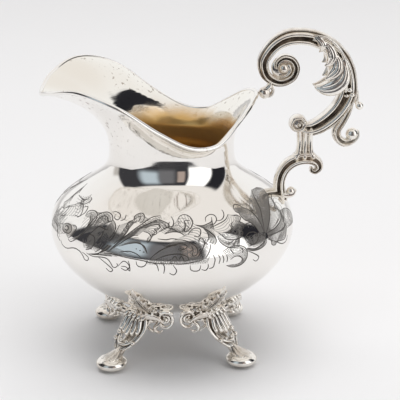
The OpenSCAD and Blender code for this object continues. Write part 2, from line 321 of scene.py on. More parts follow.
def recess_oxide_and_shade():
    """Colour and mask for a casting: dark where the recess value is high, as oxide and painted shade.
    """
    group, given, result = new_group(
        "recess oxide and painted shade",
        {"Recess": FLOAT, "Vector": VECTOR, "Bright": COLOUR, "Dark": COLOUR, "Reach": FLOAT},
        {"Color": COLOUR, "Mask": FLOAT})
    # The dark colour in the hollows is partly oxide and partly painted shade
    uneven = maths(group, "MULTIPLY_ADD", noise(group, given["Vector"], 260.0), 0.5, -0.25)
    depth = maths(group, "ADD", given["Recess"], uneven)
    low = maths(group, "SUBTRACT", 0.15, given["Reach"])
    high = maths(group, "SUBTRACT", 1.0, given["Reach"])
    mask = ramp(group, depth, low, high)
    group.links.new(mix_colour(group, mask, given["Bright"], given["Dark"]), result["Color"])
    group.links.new(mask, result["Mask"])
    return group


HAIRLINES = hairlines()
TARNISH = tarnish()
RECESS = recess_oxide_and_shade()
print("groups:", [group.name for group in (HAIRLINES, TARNISH, RECESS)])

# %% [markdown]
# ## The finishes
#
# There are six. The body is mirror-polished sheet, a little cloudy from handling, with tarnish
# specks under the lip. The wire is brighter, because cloths rub it. Castings are polished on their
# ridges and dark in their hollows, partly oxide and partly painted shade, and the toe pads are smooth
# and bright. The gilt inside is deep amber, with rings from burnishing, and it fades out towards the
# lip, where pouring has worn it away. Engraved cuts hold black dirt in their grooves, in a bold and a
# fine kind.

# %% The finishes
SILVER = (0.90, 0.88, 0.85)
WARM_SILVER = (0.90, 0.87, 0.82)


def metal(name, roughness):
    """A metal material, its tree, its shader and its object coordinates."""
    material = bpy.data.materials.new(name)
    material.use_nodes = True
    tree = material.node_tree
    shader = tree.nodes["Principled BSDF"]
    shader.inputs["Metallic"].default_value = 1.0
    shader.inputs["Roughness"].default_value = roughness
    place = put(tree, "ShaderNodeTexCoord").outputs["Object"]
    return material, tree, shader, place


def scratch(tree, shader, place, scale, strength):
    """Polishing lines, as a slight bump."""
    lines = use_group(tree, HAIRLINES, {"Vector": place, "Scale": scale})["Height"]
    inputs = {"Height": lines, "Strength": strength, "Distance": 0.00002}
    bump = put(tree, "ShaderNodeBump", inputs)
    tree.links.new(bump.outputs["Normal"], shader.inputs["Normal"])


def sheet_silver():
    material, tree, shader, place = metal("sheet_silver", 0.05)
    spots = use_group(
        tree, TARNISH, {"Vector": place, "Cloud Scale": 34.0, "Speck Scale": 560.0})
    height = put(tree, "ShaderNodeSeparateXYZ", {"Vector": place}).outputs["Z"]
    near_lip = ramp(tree, height, 0.090, 0.100)
    specks = maths(tree, "MULTIPLY", spots["Specks"], near_lip)
    clouded = mix_colour(tree, spots["Clouds"], (*SILVER, 1), (0.88, 0.855, 0.82, 1))
    colour = mix_colour(tree, specks, clouded, (0.26, 0.21, 0.18, 1))
    tree.links.new(colour, shader.inputs["Base Color"])
    dull = maths(tree, "MULTIPLY_ADD", spots["Clouds"], 0.07, 0.045)
    dull = maths(tree, "ADD", dull, maths(tree, "MULTIPLY", specks, 0.3))
    tree.links.new(dull, shader.inputs["Roughness"])
    scratch(tree, shader, place, 700.0, 0.12)
    return material


def wire_silver():
    material, tree, shader, place = metal("wire_silver", 0.09)
    spots = use_group(
        tree, TARNISH, {"Vector": place, "Cloud Scale": 120.0, "Speck Scale": 1400.0})
    colour = mix_colour(tree, spots["Specks"], (*SILVER, 1), (0.55, 0.49, 0.42, 1))
    tree.links.new(colour, shader.inputs["Base Color"])
    tree.links.new(
        maths(tree, "MULTIPLY_ADD", spots["Clouds"], 0.12, 0.08), shader.inputs["Roughness"])
    scratch(tree, shader, place, 900.0, 0.2)
    return material


def cast_silver(name, reach=0.0):
    material, tree, shader, place = metal(name, 0.16)
    recess = put(tree, "ShaderNodeAttribute", attribute_name="recess").outputs["Fac"]
    # The hollows are darkened by the recess value: partly oxide, partly painted shade
    shade = use_group(tree, RECESS, {
        "Recess": recess, "Vector": place, "Bright": (*WARM_SILVER, 1),
        "Dark": (0.05, 0.038, 0.03, 1), "Reach": reach})
    spots = use_group(
        tree, TARNISH, {"Vector": place, "Cloud Scale": 160.0, "Speck Scale": 1500.0})
    brown = maths(tree, "MULTIPLY", spots["Clouds"], 0.45)
    colour = mix_colour(tree, brown, shade["Color"], (0.50, 0.41, 0.33, 1))
    tree.links.new(colour, shader.inputs["Base Color"])
    dull = maths(tree, "MULTIPLY_ADD", shade["Mask"], 0.35, 0.13)
    tree.links.new(dull, shader.inputs["Roughness"])
    scratch(tree, shader, place, 1200.0, 0.35)
    return material


def gilt():
    material, tree, shader, place = metal("gilt", 0.2)
    height = put(tree, "ShaderNodeSeparateXYZ", {"Vector": place}).outputs["Z"]
    wander = maths(tree, "MULTIPLY_ADD", noise(tree, place, 60.0), 0.012, -0.006)
    worn = ramp(tree, maths(tree, "ADD", height, wander), 0.094, 0.103)
    spots = use_group(
        tree, TARNISH, {"Vector": place, "Cloud Scale": 45.0, "Speck Scale": 520.0})
    bare = mix_colour(tree, spots["Specks"], (0.90, 0.875, 0.82, 1), (0.36, 0.30, 0.24, 1))
    clouds = noise(tree, place, 90.0, 4.0)
    gold = mix_colour(tree, clouds, (0.54, 0.33, 0.10, 1), (0.66, 0.43, 0.17, 1))
    colour = mix_colour(tree, worn, gold, bare)
    tree.links.new(colour, shader.inputs["Base Color"])
    tree.links.new(ramp(tree, worn, 0.0, 1.0, 0.24, 0.06), shader.inputs["Roughness"])
    tree.links.new(ramp(tree, worn, 0.0, 1.0, 0.6, 1.0), shader.inputs["Metallic"])
    stacked = put(tree, "ShaderNodeMapping", {"Vector": place, "Scale": (30, 30, 900)})
    rings = noise(tree, stacked.outputs["Vector"], 1.0, 1.0)
    bump = put(tree, "ShaderNodeBump", {"Height": rings, "Strength": 0.25, "Distance": 0.0002})
    tree.links.new(bump.outputs["Normal"], shader.inputs["Normal"])
    return material


def graver_cut(name, tone):
    material, tree, shader, place = metal(name, 0.4)
    grain = noise(tree, place, 1500.0)
    dark = tuple(0.55 * value for value in tone)
    colour = mix_colour(tree, grain, (*dark, 1), (*tone, 1))
    tree.links.new(colour, shader.inputs["Base Color"])
    tree.links.new(ramp(tree, grain, 0.3, 0.7, 0.3, 0.55), shader.inputs["Roughness"])
    return material


SHEET = sheet_silver()
WIRE = wire_silver()
CAST = cast_silver("cast_silver", reach=0.25)
# On the feet the darkening reaches flat faces too, as painted shade
FOOT = cast_silver("cast_foot", reach=0.5)
PAD = cast_silver("pad_silver", reach=-0.2)
GILT = gilt()
OUTLINE_CUT = graver_cut("outline_cut", (0.13, 0.12, 0.11))
SHADE_CUT = graver_cut("shade_cut", (0.30, 0.285, 0.27))
print("finishes:", [material.name for material in (SHEET, WIRE, CAST, GILT, OUTLINE_CUT)])

# %% [markdown]
# ## Curves and skins
#
# Most of this jug is made of bars that taper and curl, so three helpers carry the modelling.
# `smooth` draws an even curve through a few rows of numbers. `skin` starts a mesh from one ring of
# points and extrudes it from place to place. `sweep` lays a chosen cross-section along a curve. All
# sizes are in millimetres until a piece is finished, because that is how a silversmith thinks.

# %% Curves and skins


def curve_between(a, b, c, d, t):
    """The curve from b to c, with its neighbours a and d."""
    return [
        0.5 * (2 * q + (r - p) * t + (2 * p - 5 * q + 4 * r - s) * t * t
               + (3 * q - p - 3 * r + s) * t ** 3)
        for p, q, r, s in zip(a, b, c, d)
    ]


def smooth(rows, steps):
    """A smooth curve through the rows, with this many steps from each to the next."""
    last = len(rows) - 1
    found = []
    for i in range(last):
        before, after = rows[max(i - 1, 0)], rows[min(i + 2, last)]
        for step in range(steps):
            found.append(curve_between(before, rows[i], rows[i + 1], after, step / steps))
    return found + [list(rows[-1])]


def skin(bm, rings, closed=False):
    """Extrudes a first ring of points along the others; the ends are capped unless it is closed."""
    count = len(rings[0])
    ring = [bm.verts.new(point) for point in rings[0]]
    edges = [bm.edges.new((ring[k - 1], ring[k])) for k in range(count)]
    first_ring, first_edges = ring, edges
    for points in rings[1:]:
        made = bmesh.ops.extrude_edge_only(bm, edges=edges)["geom"]
        fresh = {item for item in made if isinstance(item, bmesh.types.BMVert)}
        ring = [
            next(e.other_vert(old) for e in old.link_edges if e.other_vert(old) in fresh)
            for old in ring
        ]
        for vert, point in zip(ring, points):
            vert.co = point
        edges = [bm.edges.get((ring[k - 1], ring[k])) for k in range(count)]
    if closed:
        bmesh.ops.bridge_loops(bm, edges=edges + first_edges)
    else:
        bm.faces.new(first_ring)
        bm.faces.new(ring)


def sweep(bm, rows, section, side, steps=4, domed=True):
    """Lays a section along rows of [x, y, z, half width, half depth]; the depth lies along side."""
    stations = smooth(rows, steps)
    side = Vector(side)
    rings = []
    for i, here in enumerate(stations):
        before, after = stations[max(i - 1, 0)], stations[min(i + 1, len(stations) - 1)]
        along = (Vector(after[:3]) - Vector(before[:3])).normalized()
        deep = (side - along * side.dot(along)).normalized()
        wide = deep.cross(along)
        frame_here = (Vector(here[:3]), along, wide * here[3], deep * here[4])
        turns = [(0.0, 1.0)]
        if domed and i in (0, len(stations) - 1):
            turns = [(math.sin(math.radians(t)), math.cos(math.radians(t))) for t in (80, 55, 28, 0)]
            if i:
                turns = [(-push, keep) for push, keep in reversed(turns)]
        reach = min(here[3], here[4])
        for push, keep in turns:
            centre = frame_here[0] - frame_here[1] * push * reach
            rings.append([
                centre + frame_here[2] * across * keep + frame_here[3] * over * keep
                for across, over in section
            ])
    skin(bm, rings)


def both_sides(half):
    """A closed section from its front half, given from the outer edge to the inner one."""
    back = [(across, -over) for across, over in reversed(half[1:-1])]
    return list(half) + back


def round_section(points=16):
    turns = [2 * math.pi * (k + 0.5) / points for k in range(points)]
    return [(math.cos(t), math.sin(t)) for t in turns]


def ball(bm, centre, radius, squash=(1, 1, 1)):
    """A turned ball, flattened by squash."""
    place = Matrix.Translation(Vector(centre)) @ Matrix.Diagonal((*squash, 1))
    bmesh.ops.create_uvsphere(bm, u_segments=24, v_segments=16, radius=radius, matrix=place)


print("a round section has", len(round_section()), "points")

# %% [markdown]
# ## Finishing a piece
#
# `pour` fuses the overlapping parts of a casting into one skin, as molten silver does: a voxel
# remesh closes them, and a little smoothing takes the sharpness off. `mark_recesses` compares each
# point with the average of its surroundings, and stores how far it is sunk, for the oxide and painted
# shade in the hollows. `finish_piece` turns millimetres into metres, hangs the piece on the root body
# and hides the CAD nodes that it replaces.

# %% Finishing a piece
RECESS_DEPTH = 0.30


def pour(bm, voxel, easing=2):
    """The mesh as one fused skin."""
    bmesh.ops.recalc_face_normals(bm, faces=bm.faces)
    mesh = bpy.data.meshes.new("pour")
    bm.to_mesh(mesh)
    bm.free()
    model = bpy.data.objects.new("pour", mesh)
    bpy.context.collection.objects.link(model)
    fuse = model.modifiers.new("fuse", "REMESH")
    fuse.mode = "VOXEL"
    fuse.voxel_size = voxel
    ease = model.modifiers.new("ease", "SMOOTH")
    ease.factor = 0.5
    ease.iterations = easing
    seen = model.evaluated_get(bpy.context.evaluated_depsgraph_get())
    result = bpy.data.meshes.new_from_object(seen)
    fused = bmesh.new()
    fused.from_mesh(result)
    bpy.data.objects.remove(model)
    bpy.data.meshes.remove(result)
    return fused


# The stored recess value darkens the castings' hollows: partly oxide, partly painted shade
def mark_recesses(mesh, rounds=10):
    """Stores how far each point lies below its surroundings, 1 being RECESS_DEPTH millimetres."""
    count = len(mesh.vertices)
    places = np.empty(count * 3)
    mesh.vertices.foreach_get("co", places)
    places = places.reshape(-1, 3)
    normals = np.empty(count * 3)
    mesh.vertices.foreach_get("normal", normals)
    ends = np.empty(len(mesh.edges) * 2, dtype=np.int32)
    mesh.edges.foreach_get("vertices", ends)
    one, other = ends.reshape(-1, 2).T
    joined = np.bincount(one, minlength=count) + np.bincount(other, minlength=count)
    eased = places.copy()
    for _ in range(rounds):
        total = [
            np.bincount(one, eased[other, k], count) + np.bincount(other, eased[one, k], count)
            for k in range(3)
        ]
        eased = np.stack(total, 1) / joined[:, None]
    sunk = ((eased - places) * normals.reshape(-1, 3)).sum(1) / (RECESS_DEPTH * MM)
    store = mesh.attributes.new("recess", "FLOAT", "POINT")
    store.data.foreach_set("value", sunk.astype(np.float32))


def finish_piece(name, bm, nodes, slot, *materials, recess_rounds=10):
    """Makes the object in metres, on the body, in place of its CAD nodes."""
    bmesh.ops.recalc_face_normals(bm, faces=bm.faces)
    bmesh.ops.scale(bm, vec=(MM, MM, MM), verts=bm.verts)
    mesh = bpy.data.meshes.new(name)
    bm.to_mesh(mesh)
    bm.free()
    mesh.shade_smooth()
    mark_recesses(mesh, recess_rounds)
    piece = bpy.data.objects.new(name, mesh)
    bpy.context.collection.objects.link(piece)
    for material in materials:
        mesh.materials.append(material)
    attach(piece, "root")
    if nodes:
        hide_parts(*nodes)
    print(name, "faces", len(mesh.polygons))
    return piece


# %% [markdown]
# ## The body
#
# The real body is hammered up from a disc, so its bowl, shoulder and neck are round, and only the
# flared lip is not. That order is kept here: the outline is spun round the axis, and then the rings
# of the flare are drawn out to the lip's own reach and height at each angle. A solidify modifier
# gives the sheet its thickness, and its inner side takes the gilt.

# %% The body's outline
BELLY_R, BELLY_Z, BASE_Z = 52.7, 56.0, 15.6
NECK_R, NECK_Z = 26.9, 92.0
WALL = 0.9
WIRE_R = 0.9
BOWL_DEPTH = BELLY_Z - BASE_Z


def under_bowl(r):
    """Height of the underside of the bowl at a radius."""
    return BELLY_Z - BOWL_DEPTH * (1 - (r / BELLY_R) ** (1 / 0.75)) ** (1 / 1.9)


def shoulder(z):
    """Radius between the belly and the neck."""
    turned = math.pi * ((z - BELLY_Z) / (NECK_Z - BELLY_Z)) ** 1.45
    return NECK_R + (BELLY_R - NECK_R) * ((1 + math.cos(turned)) / 2) ** 2


# Reach past the neck and height above it, every 20 degrees from the handle side to the spout
DIP_RISE, DIP_REACH = 7.0, 8.05
CREST_RISE, CREST_REACH = 30.8, 24.64
SPOUT_RISE, SPOUT_REACH = 23.4, 28.0
BACK_RISE, BACK_REACH = 21.6, 9.6
LIP = [
    (BACK_REACH, BACK_RISE), (BACK_REACH - 0.9, BACK_RISE - 2), (DIP_REACH - 1, DIP_RISE + 6.2),
    (DIP_REACH, DIP_RISE + 0.1), (DIP_REACH + 1.4, DIP_RISE + 0.6),
    (SPOUT_REACH * 0.47, DIP_RISE + 8), (SPOUT_REACH * 0.75, CREST_RISE - 4.4),
    (CREST_REACH, CREST_RISE), (SPOUT_REACH * 0.965, CREST_RISE - 3.4), (SPOUT_REACH, SPOUT_RISE),
]
LIP_STEP = 20


def lip_at(angle):
    """Reach and rise of the lip at an angle in degrees from the handle."""
    turned = abs((angle + 180) % 360 - 180) / LIP_STEP
    i = min(8, int(turned))
    rows = [LIP[abs(k)] if k <= 9 else LIP[18 - k] for k in (i - 1, i, i + 1, i + 2)]
    return curve_between(*rows, turned - i)


def flare(angle, f):
    """Radius and height on the flare, for f from 0 at the neck to 1 at the edge."""
    reach, rise = lip_at(angle)
    end = math.radians(62 + 16 * ((1 - math.cos(math.radians(angle))) / 2) ** 2)
    return (
        NECK_R + reach * (1 - math.cos(end * f)) / (1 - math.cos(end)),
        NECK_Z + rise * math.sin(end * f) / math.sin(end),
    )


print("lip at the spout", lip_at(180), "and at the handle", lip_at(0))

# %% The body's mesh
ROUNDS = 240
BOWL_RINGS, SHOULDER_RINGS, FLARE_RINGS = 36, 44, 34
FLARE_UNIT = 10.0


def make_body():
    bm = bmesh.new()
    outline = [(0.0, BASE_Z)]
    for i in range(1, BOWL_RINGS + 1):
        r = BELLY_R * math.sin(math.pi / 2 * i / BOWL_RINGS)
        outline.append((r, under_bowl(r)))
    for i in range(1, SHOULDER_RINGS + 1):
        z = BELLY_Z + (NECK_Z - BELLY_Z) * i / SHOULDER_RINGS
        outline.append((shoulder(z), z))
    for i in range(1, FLARE_RINGS + 1):
        outline.append((NECK_R, NECK_Z + FLARE_UNIT * i / FLARE_RINGS))
    line = [bm.verts.new((r, 0, z)) for r, z in outline]
    edges = [bm.edges.new(pair) for pair in zip(line, line[1:])]
    bmesh.ops.spin(
        bm, geom=line + edges, cent=(0, 0, 0), axis=(0, 0, 1),
        angle=2 * math.pi, steps=ROUNDS, use_merge=True)
    bmesh.ops.remove_doubles(bm, verts=bm.verts, dist=0.001)
    for vert in bm.verts:
        if vert.co.z > NECK_Z + 0.01:
            angle = math.degrees(math.atan2(vert.co.y, vert.co.x))
            r, z = flare(angle, (vert.co.z - NECK_Z) / FLARE_UNIT)
            turned = math.radians(angle)
            vert.co = (r * math.cos(turned), r * math.sin(turned), z)
    bmesh.ops.recalc_face_normals(bm, faces=bm.faces)
    lowest = min(bm.faces, key=lambda face: face.calc_center_median().z)
    lowest.normal_update()
    if lowest.normal.z > 0:
        bmesh.ops.reverse_faces(bm, faces=bm.faces)
    bmesh.ops.scale(bm, vec=(MM, MM, MM), verts=bm.verts)
    mesh = bpy.data.meshes.new("body_sheet")
    bm.to_mesh(mesh)
    bm.free()
    mesh.shade_smooth()
    piece = bpy.data.objects.new("body_sheet", mesh)
    bpy.context.collection.objects.link(piece)
    mesh.materials.append(SHEET)
    mesh.materials.append(GILT)
    sheet = piece.modifiers.new("sheet", "SOLIDIFY")
    sheet.thickness = WALL * MM
    sheet.offset = -1
    sheet.use_even_offset = True
    sheet.material_offset = 1
    sheet.material_offset_rim = 0
    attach(piece, "root")
    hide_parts("body")
    print("body faces", len(mesh.polygons))
    return piece


body = make_body()

# %% [markdown]
# ## The rim wire
#
# A thin edge would bend and cut, so a drawn wire is soldered along it. On this jug the wire is
# reeded: a groove runs round it and makes it read as two lines. It follows the lip, so its rings are
# placed at the flare's edge, angle by angle, and the last ring is bridged to the first.

# %% The rim wire
WIRE_STATIONS = 240
WIRE_POINTS = 20
REED_DEPTH = 0.22


def make_wire():
    bm = bmesh.new()
    rings = []
    for j in range(WIRE_STATIONS):
        angle = 360 * j / WIRE_STATIONS
        edge, before = Vector(flare(angle, 1)), Vector(flare(angle, 0.95))
        along = (edge - before).normalized()
        inner = Vector((-along.y, along.x))
        centre = edge + inner * WALL / 2
        ring = []
        for k in range(WIRE_POINTS):
            t = 2 * math.pi * k / WIRE_POINTS
            reed = 1 - REED_DEPTH * math.exp(-((math.cos(t) + 0.15) / 0.25) ** 2)
            r, z = centre + (inner * math.sin(t) * reed - along * math.cos(t)) * WIRE_R
            turned = math.radians(angle)
            ring.append((r * math.cos(turned), r * math.sin(turned), z))
        rings.append(ring)
    skin(bm, rings, closed=True)
    return finish_piece("rim_wire", bm, ["rim_wire"], "wire_silver", WIRE)


make_wire()

# %% [markdown]
# ## The large scroll of the handle
#
# A handle like this is cast from a carved pattern: a bar that swells, curls over the top and ends in
# a volute. A curve with a round bevel could stand for it, but the carving is in the section: a bead
# along the outer edge, a round ridge, a deep channel and an inner bead. So the section is drawn once
# and swept along the curve, and the light does the rest.

# %% The large scroll
LIP_X, LIP_Z = NECK_R + BACK_REACH + WIRE_R, NECK_Z + BACK_RISE
SCROLL_DEPTH = 4.0
ACROSS_HANDLE = (0, 1, 0)


def on_handle(rows, flip=1):
    """Rows of [out from the lip, up, half width, half depth, sideways] as sweep rows."""
    return [
        (LIP_X + row[0], flip * (row[4] if len(row) > 4 else 0), LIP_Z + row[1], row[2], row[3])
        for row in rows
    ]


# From the outer edge to the inner one: how far across, and how deep
FLUTED_HALF = smooth([
    (1.0, 0.0), (0.97, 0.34), (0.88, 0.56), (0.77, 0.58), (0.69, 0.44), (0.60, 0.62),
    (0.47, 0.92), (0.31, 1.0), (0.15, 0.90), (0.05, 0.58), (-0.05, 0.36), (-0.20, 0.32),
    (-0.32, 0.46), (-0.43, 0.72), (-0.60, 0.84), (-0.78, 0.76), (-0.93, 0.46), (-1.0, 0.0),
], 3)
FLUTED = both_sides(FLUTED_HALF)
EYE_X, EYE_Z = 10.4, 10.9
ARM_ROWS = [
    (20.4, -15.9, 3.0, 0.80), (23.4, -15.8, 3.5, 0.85), (27.4, -13.9, 3.8, 0.95),
    (31.7, -10.6, 4.0, 1.0), (35.5, -6.2, 4.1, 1.0), (38.1, -0.4, 4.2, 1.0), (38.1, 5.8, 4.1, 1.0),
    (36.4, 11.8, 4.0, 1.0), (32.9, 17.2, 3.9, 1.0), (27.9, 21.4, 3.8, 1.0), (22.7, 23.6, 3.7, 1.0),
    (17.3, 24.4, 3.7, 0.95), (11.9, 24.0, 3.6, 0.95), (7.1, 21.6, 3.2, 0.90),
    (3.5, 17.8, 2.9, 0.85),
]
# The volute: angle round its eye, radius of the middle line, half width
VOLUTE = [
    (165, 9.2, 2.6), (200, 8.1, 2.3), (235, 6.9, 2.0), (270, 6.1, 1.8), (315, 5.6, 1.7),
    (360, 5.4, 1.6), (405, 5.1, 1.5), (450, 4.7, 1.3), (495, 4.0, 1.1), (530, 3.2, 0.9),
]


def round_eye(x, z, turns, depth):
    """Rows of a spiral round (x, z) on the handle, from rows of (angle, radius, half width)."""
    return [
        (x + radius * math.cos(math.radians(angle)), z + radius * math.sin(math.radians(angle)),
         width, depth)
        for angle, radius, width in turns
    ]


def make_main_scroll():
    rows = [(x, z, width, depth * SCROLL_DEPTH) for x, z, width, depth in ARM_ROWS]
    rows += round_eye(EYE_X, EYE_Z, VOLUTE, 0.75 * SCROLL_DEPTH)
    bm = bmesh.new()
    sweep(bm, on_handle(rows), FLUTED, ACROSS_HANDLE, steps=8)
    return finish_piece(
        "handle_main_scroll", bm, ["handle_main_scroll"], "cast_silver", CAST, recess_rounds=14)


make_main_scroll()

# %% [markdown]
# ## The volute's eye and the bud
#
# The scroll winds round a raised eye, with a thin web behind it that closes the casting. The lower
# end of the scroll curls the same way, more tightly, into a bud. Both are discs, balls and short
# spirals fused into one skin.

# %% The eye and the bud


def disc(bm, x, z, radius, half_depth):
    ball(bm, (LIP_X + x, 0, LIP_Z + z), radius, (1, half_depth / radius, 1))


def make_eye():
    bm = bmesh.new()
    disc(bm, EYE_X, EYE_Z, 5.4, 1.1)
    disc(bm, EYE_X, EYE_Z, 2.5, 3.0)
    tail = [(30, 2.4, 1.2), (-20, 2.8, 1.1), (-70, 3.2, 0.9), (-110, 3.6, 0.6)]
    sweep(bm, on_handle(round_eye(EYE_X, EYE_Z, tail, 2.3)), round_section(), ACROSS_HANDLE)
    return finish_piece(
        "handle_volute_eye", pour(bm, 0.2), ["handle_volute_eye"], "cast_silver", CAST)


def make_bud():
    bm = bmesh.new()
    x, z = 17.0, -13.6
    disc(bm, x, z, 3.6, 1.9)
    disc(bm, x + 0.5, z - 0.3, 1.1, 3.1)
    curl = [
        (-60, 3.0, 1.1), (0, 2.9, 1.1), (60, 3.0, 1.15), (120, 3.0, 1.15), (180, 3.0, 1.1),
        (240, 2.9, 1.0), (300, 2.6, 0.8), (350, 2.1, 0.6), (400, 1.6, 0.45),
    ]
    sweep(bm, on_handle(round_eye(x, z, curl, 3.1)), round_section(), ACROSS_HANDLE, steps=5)
    return finish_piece("handle_bud", pour(bm, 0.2), ["handle_bud"], "cast_silver", CAST)


make_eye()
bud = make_bud()

# %% [markdown]
# ## The acanthus leaf
#
# Inside the back of the scroll lies an acanthus leaf: ribs run down along the band, and four lobes
# turn inwards, each over the next, the last one drooping like a tongue. Each lobe is a short sweep of
# a ribbed section, mirrored to the other side of the handle, and a core joins the two sides.

# %% The handle's leaf
RIBBED = both_sides([
    (1.0, 0.0), (0.92, 0.5), (0.74, 0.78), (0.58, 0.5), (0.42, 0.95), (0.22, 0.62), (0.0, 1.2),
    (-0.22, 0.62), (-0.42, 0.95), (-0.58, 0.5), (-0.74, 0.78), (-0.92, 0.5), (-1.0, 0.0),
])
LEAF_CORE = [
    (27.4, 20.2, 1.2, 2.2), (30.0, 16.4, 2.2, 3.2), (32.0, 11.4, 3.0, 3.8),
    (32.8, 6.6, 3.2, 4.0), (31.4, 3.4, 3.0, 3.6), (28.0, 2.5, 2.0, 2.6), (24.9, 2.7, 0.6, 1.3),
]
PLUMP = both_sides([
    (1.0, 0.0), (0.9, 0.5), (0.66, 0.84), (0.44, 0.86), (0.32, 0.66), (0.18, 0.94),
    (-0.1, 1.06), (-0.26, 0.8), (-0.42, 0.98), (-0.7, 0.84), (-0.92, 0.44), (-1.0, 0.0),
])
LEAF_RIBS = (
    [(22.6, 25.6, 0.3, 0.5, 3.7), (28.0, 24.2, 0.6, 0.8, 4.0), (32.9, 20.2, 0.7, 0.9, 4.2),
     (35.9, 14.4, 0.75, 0.9, 4.3), (37.2, 7.8, 0.75, 0.9, 4.3), (36.7, 1.0, 0.5, 0.7, 4.1)],
    [(22.2, 23.4, 0.3, 0.5, 3.4), (27.2, 22.0, 0.6, 0.8, 3.9), (31.6, 18.2, 0.7, 0.9, 4.1),
     (34.2, 13.0, 0.8, 0.9, 4.3), (35.3, 7.2, 0.8, 0.9, 4.4), (34.9, 2.2, 0.6, 0.7, 4.2)],
)
LEAF_LOBES = (
    [(22.4, 24.6, 0.6, 0.6, 3.2), (24.8, 23.4, 1.5, 1.0, 3.8), (26.2, 21.4, 1.8, 1.1, 4.0),
     (25.9, 19.4, 1.0, 0.8, 3.8), (25.0, 18.4, 0.3, 0.5, 3.4)],
    [(26.6, 22.6, 0.9, 0.8, 3.8), (29.2, 19.8, 2.0, 1.2, 4.1), (30.4, 16.4, 2.5, 1.3, 4.3),
     (29.4, 13.6, 1.7, 1.0, 4.0), (27.6, 12.4, 0.4, 0.5, 3.6)],
    [(30.4, 18.4, 0.9, 0.9, 4.0), (32.8, 14.4, 2.0, 1.2, 4.3), (32.6, 11.0, 2.5, 1.4, 4.6),
     (30.6, 8.4, 2.1, 1.2, 4.4), (28.0, 6.6, 0.5, 0.6, 3.8)],
    [(35.0, 14.4, 0.8, 0.9, 4.2), (36.0, 9.4, 2.2, 1.2, 4.4), (34.6, 5.4, 3.3, 1.4, 4.7),
     (31.2, 3.0, 3.5, 1.5, 4.8), (27.6, 2.2, 2.6, 1.2, 4.3), (24.9, 2.4, 1.1, 0.8, 3.6),
     (23.6, 2.9, 0.3, 0.4, 3.1)],
)


def make_leaf():
    bm = bmesh.new()
    sweep(bm, on_handle(LEAF_CORE), round_section(), ACROSS_HANDLE)
    for flip in (1, -1):
        for rows in LEAF_RIBS:
            sweep(bm, on_handle(rows, flip), round_section(10), ACROSS_HANDLE)
        for rows in LEAF_LOBES:
            sweep(bm, on_handle(rows, flip), PLUMP, ACROSS_HANDLE, steps=5)
    return finish_piece("handle_leaf", pour(bm, 0.22, 1), ["handle_leaf"], "cast_silver", CAST)


handle_leaf = make_leaf()

# %% [markdown]
# ## Spurs, bead, strut and lower scroll
#
# The rest of the handle is small castings that balance the large one. A bead carries its front end
# on the lip wire. Two spurs leave its back, each ending in a ball. A fluted strut stands on the lower
# scroll, and the lower scroll is soldered to the shoulder.

# %% The bead and the spurs


def make_bead():
    bm = bmesh.new()
    ball(bm, (LIP_X + 2.2, 0, LIP_Z + 0.2), 2.5)
    for depth in (-1.3, 1.3):
        collar = [(angle, 1.9, 0.45) for angle in range(-150, 91, 40)]
        rows = [(x, z, w, 0.5, depth) for x, z, w, _ in round_eye(2.2, 0.2, collar, 0)]
        sweep(bm, on_handle(rows), round_section(8), ACROSS_HANDLE, steps=2)
    link = [(2.4, 1.4, 1.3, 1.8), (4.3, 3.0, 1.2, 2.0), (4.7, 5.4, 1.0, 2.0)]
    sweep(bm, on_handle(link), round_section(), ACROSS_HANDLE)
    curl = [(4.8, 3.6, 0.6, 1.6), (6.0, 1.4, 0.8, 1.8), (5.2, -0.9, 0.8, 1.7), (3.6, -1.5, 0.5, 1.3)]
    sweep(bm, on_handle(curl), round_section(), ACROSS_HANDLE)
    return finish_piece(
        "handle_rim_bead", pour(bm, 0.18), ["handle_rim_bead"], "cast_silver", CAST)


def make_small_spur():
    bm = bmesh.new()
    rows = [
        (40.6, 3.2, 0.6, 1.4), (41.8, 0.6, 1.0, 1.7), (42.3, -2.6, 1.0, 1.6),
        (42.2, -5.0, 0.9, 1.4), (43.2, -6.4, 0.8, 1.2)]
    sweep(bm, on_handle(rows), round_section(), ACROSS_HANDLE)
    ball(bm, (LIP_X + 43.6, 0, LIP_Z - 6.4), 1.8)
    for flip in (1, -1):
        for x, z, reach in ((38.4, 1.6, 1.3), (39.6, -0.6, 1.2), (37.2, -1.0, 1.0)):
            ball(bm, (LIP_X + x, flip * 3.4, LIP_Z + z), reach, (1.1, 0.9, 0.8))
    return finish_piece(
        "handle_small_spur", pour(bm, 0.18), ["handle_small_spur"], "cast_silver", CAST)


def make_back_spur():
    bm = bmesh.new()
    rows = [
        (40.0, -3.4, 1.2, 2.4), (38.6, -8.0, 1.8, 2.9), (36.2, -12.8, 2.1, 3.1),
        (33.9, -16.8, 2.1, 3.0), (34.5, -20.4, 2.0, 2.9), (37.3, -22.5, 1.9, 2.8),
        (40.6, -21.9, 1.6, 2.6), (43.0, -19.8, 1.1, 2.2), (43.3, -17.6, 0.6, 1.5)]
    sweep(bm, on_handle(rows), FLUTED, ACROSS_HANDLE, steps=6)
    ball(bm, (LIP_X + 40.8, 0, LIP_Z - 18.9), 2.9)
    return finish_piece(
        "handle_back_spur", pour(bm, 0.2, 1), ["handle_back_spur"], "cast_silver", CAST)


make_bead()
make_small_spur()
make_back_spur()

# %% The strut and the lower scroll
STRUT_X = 20.2


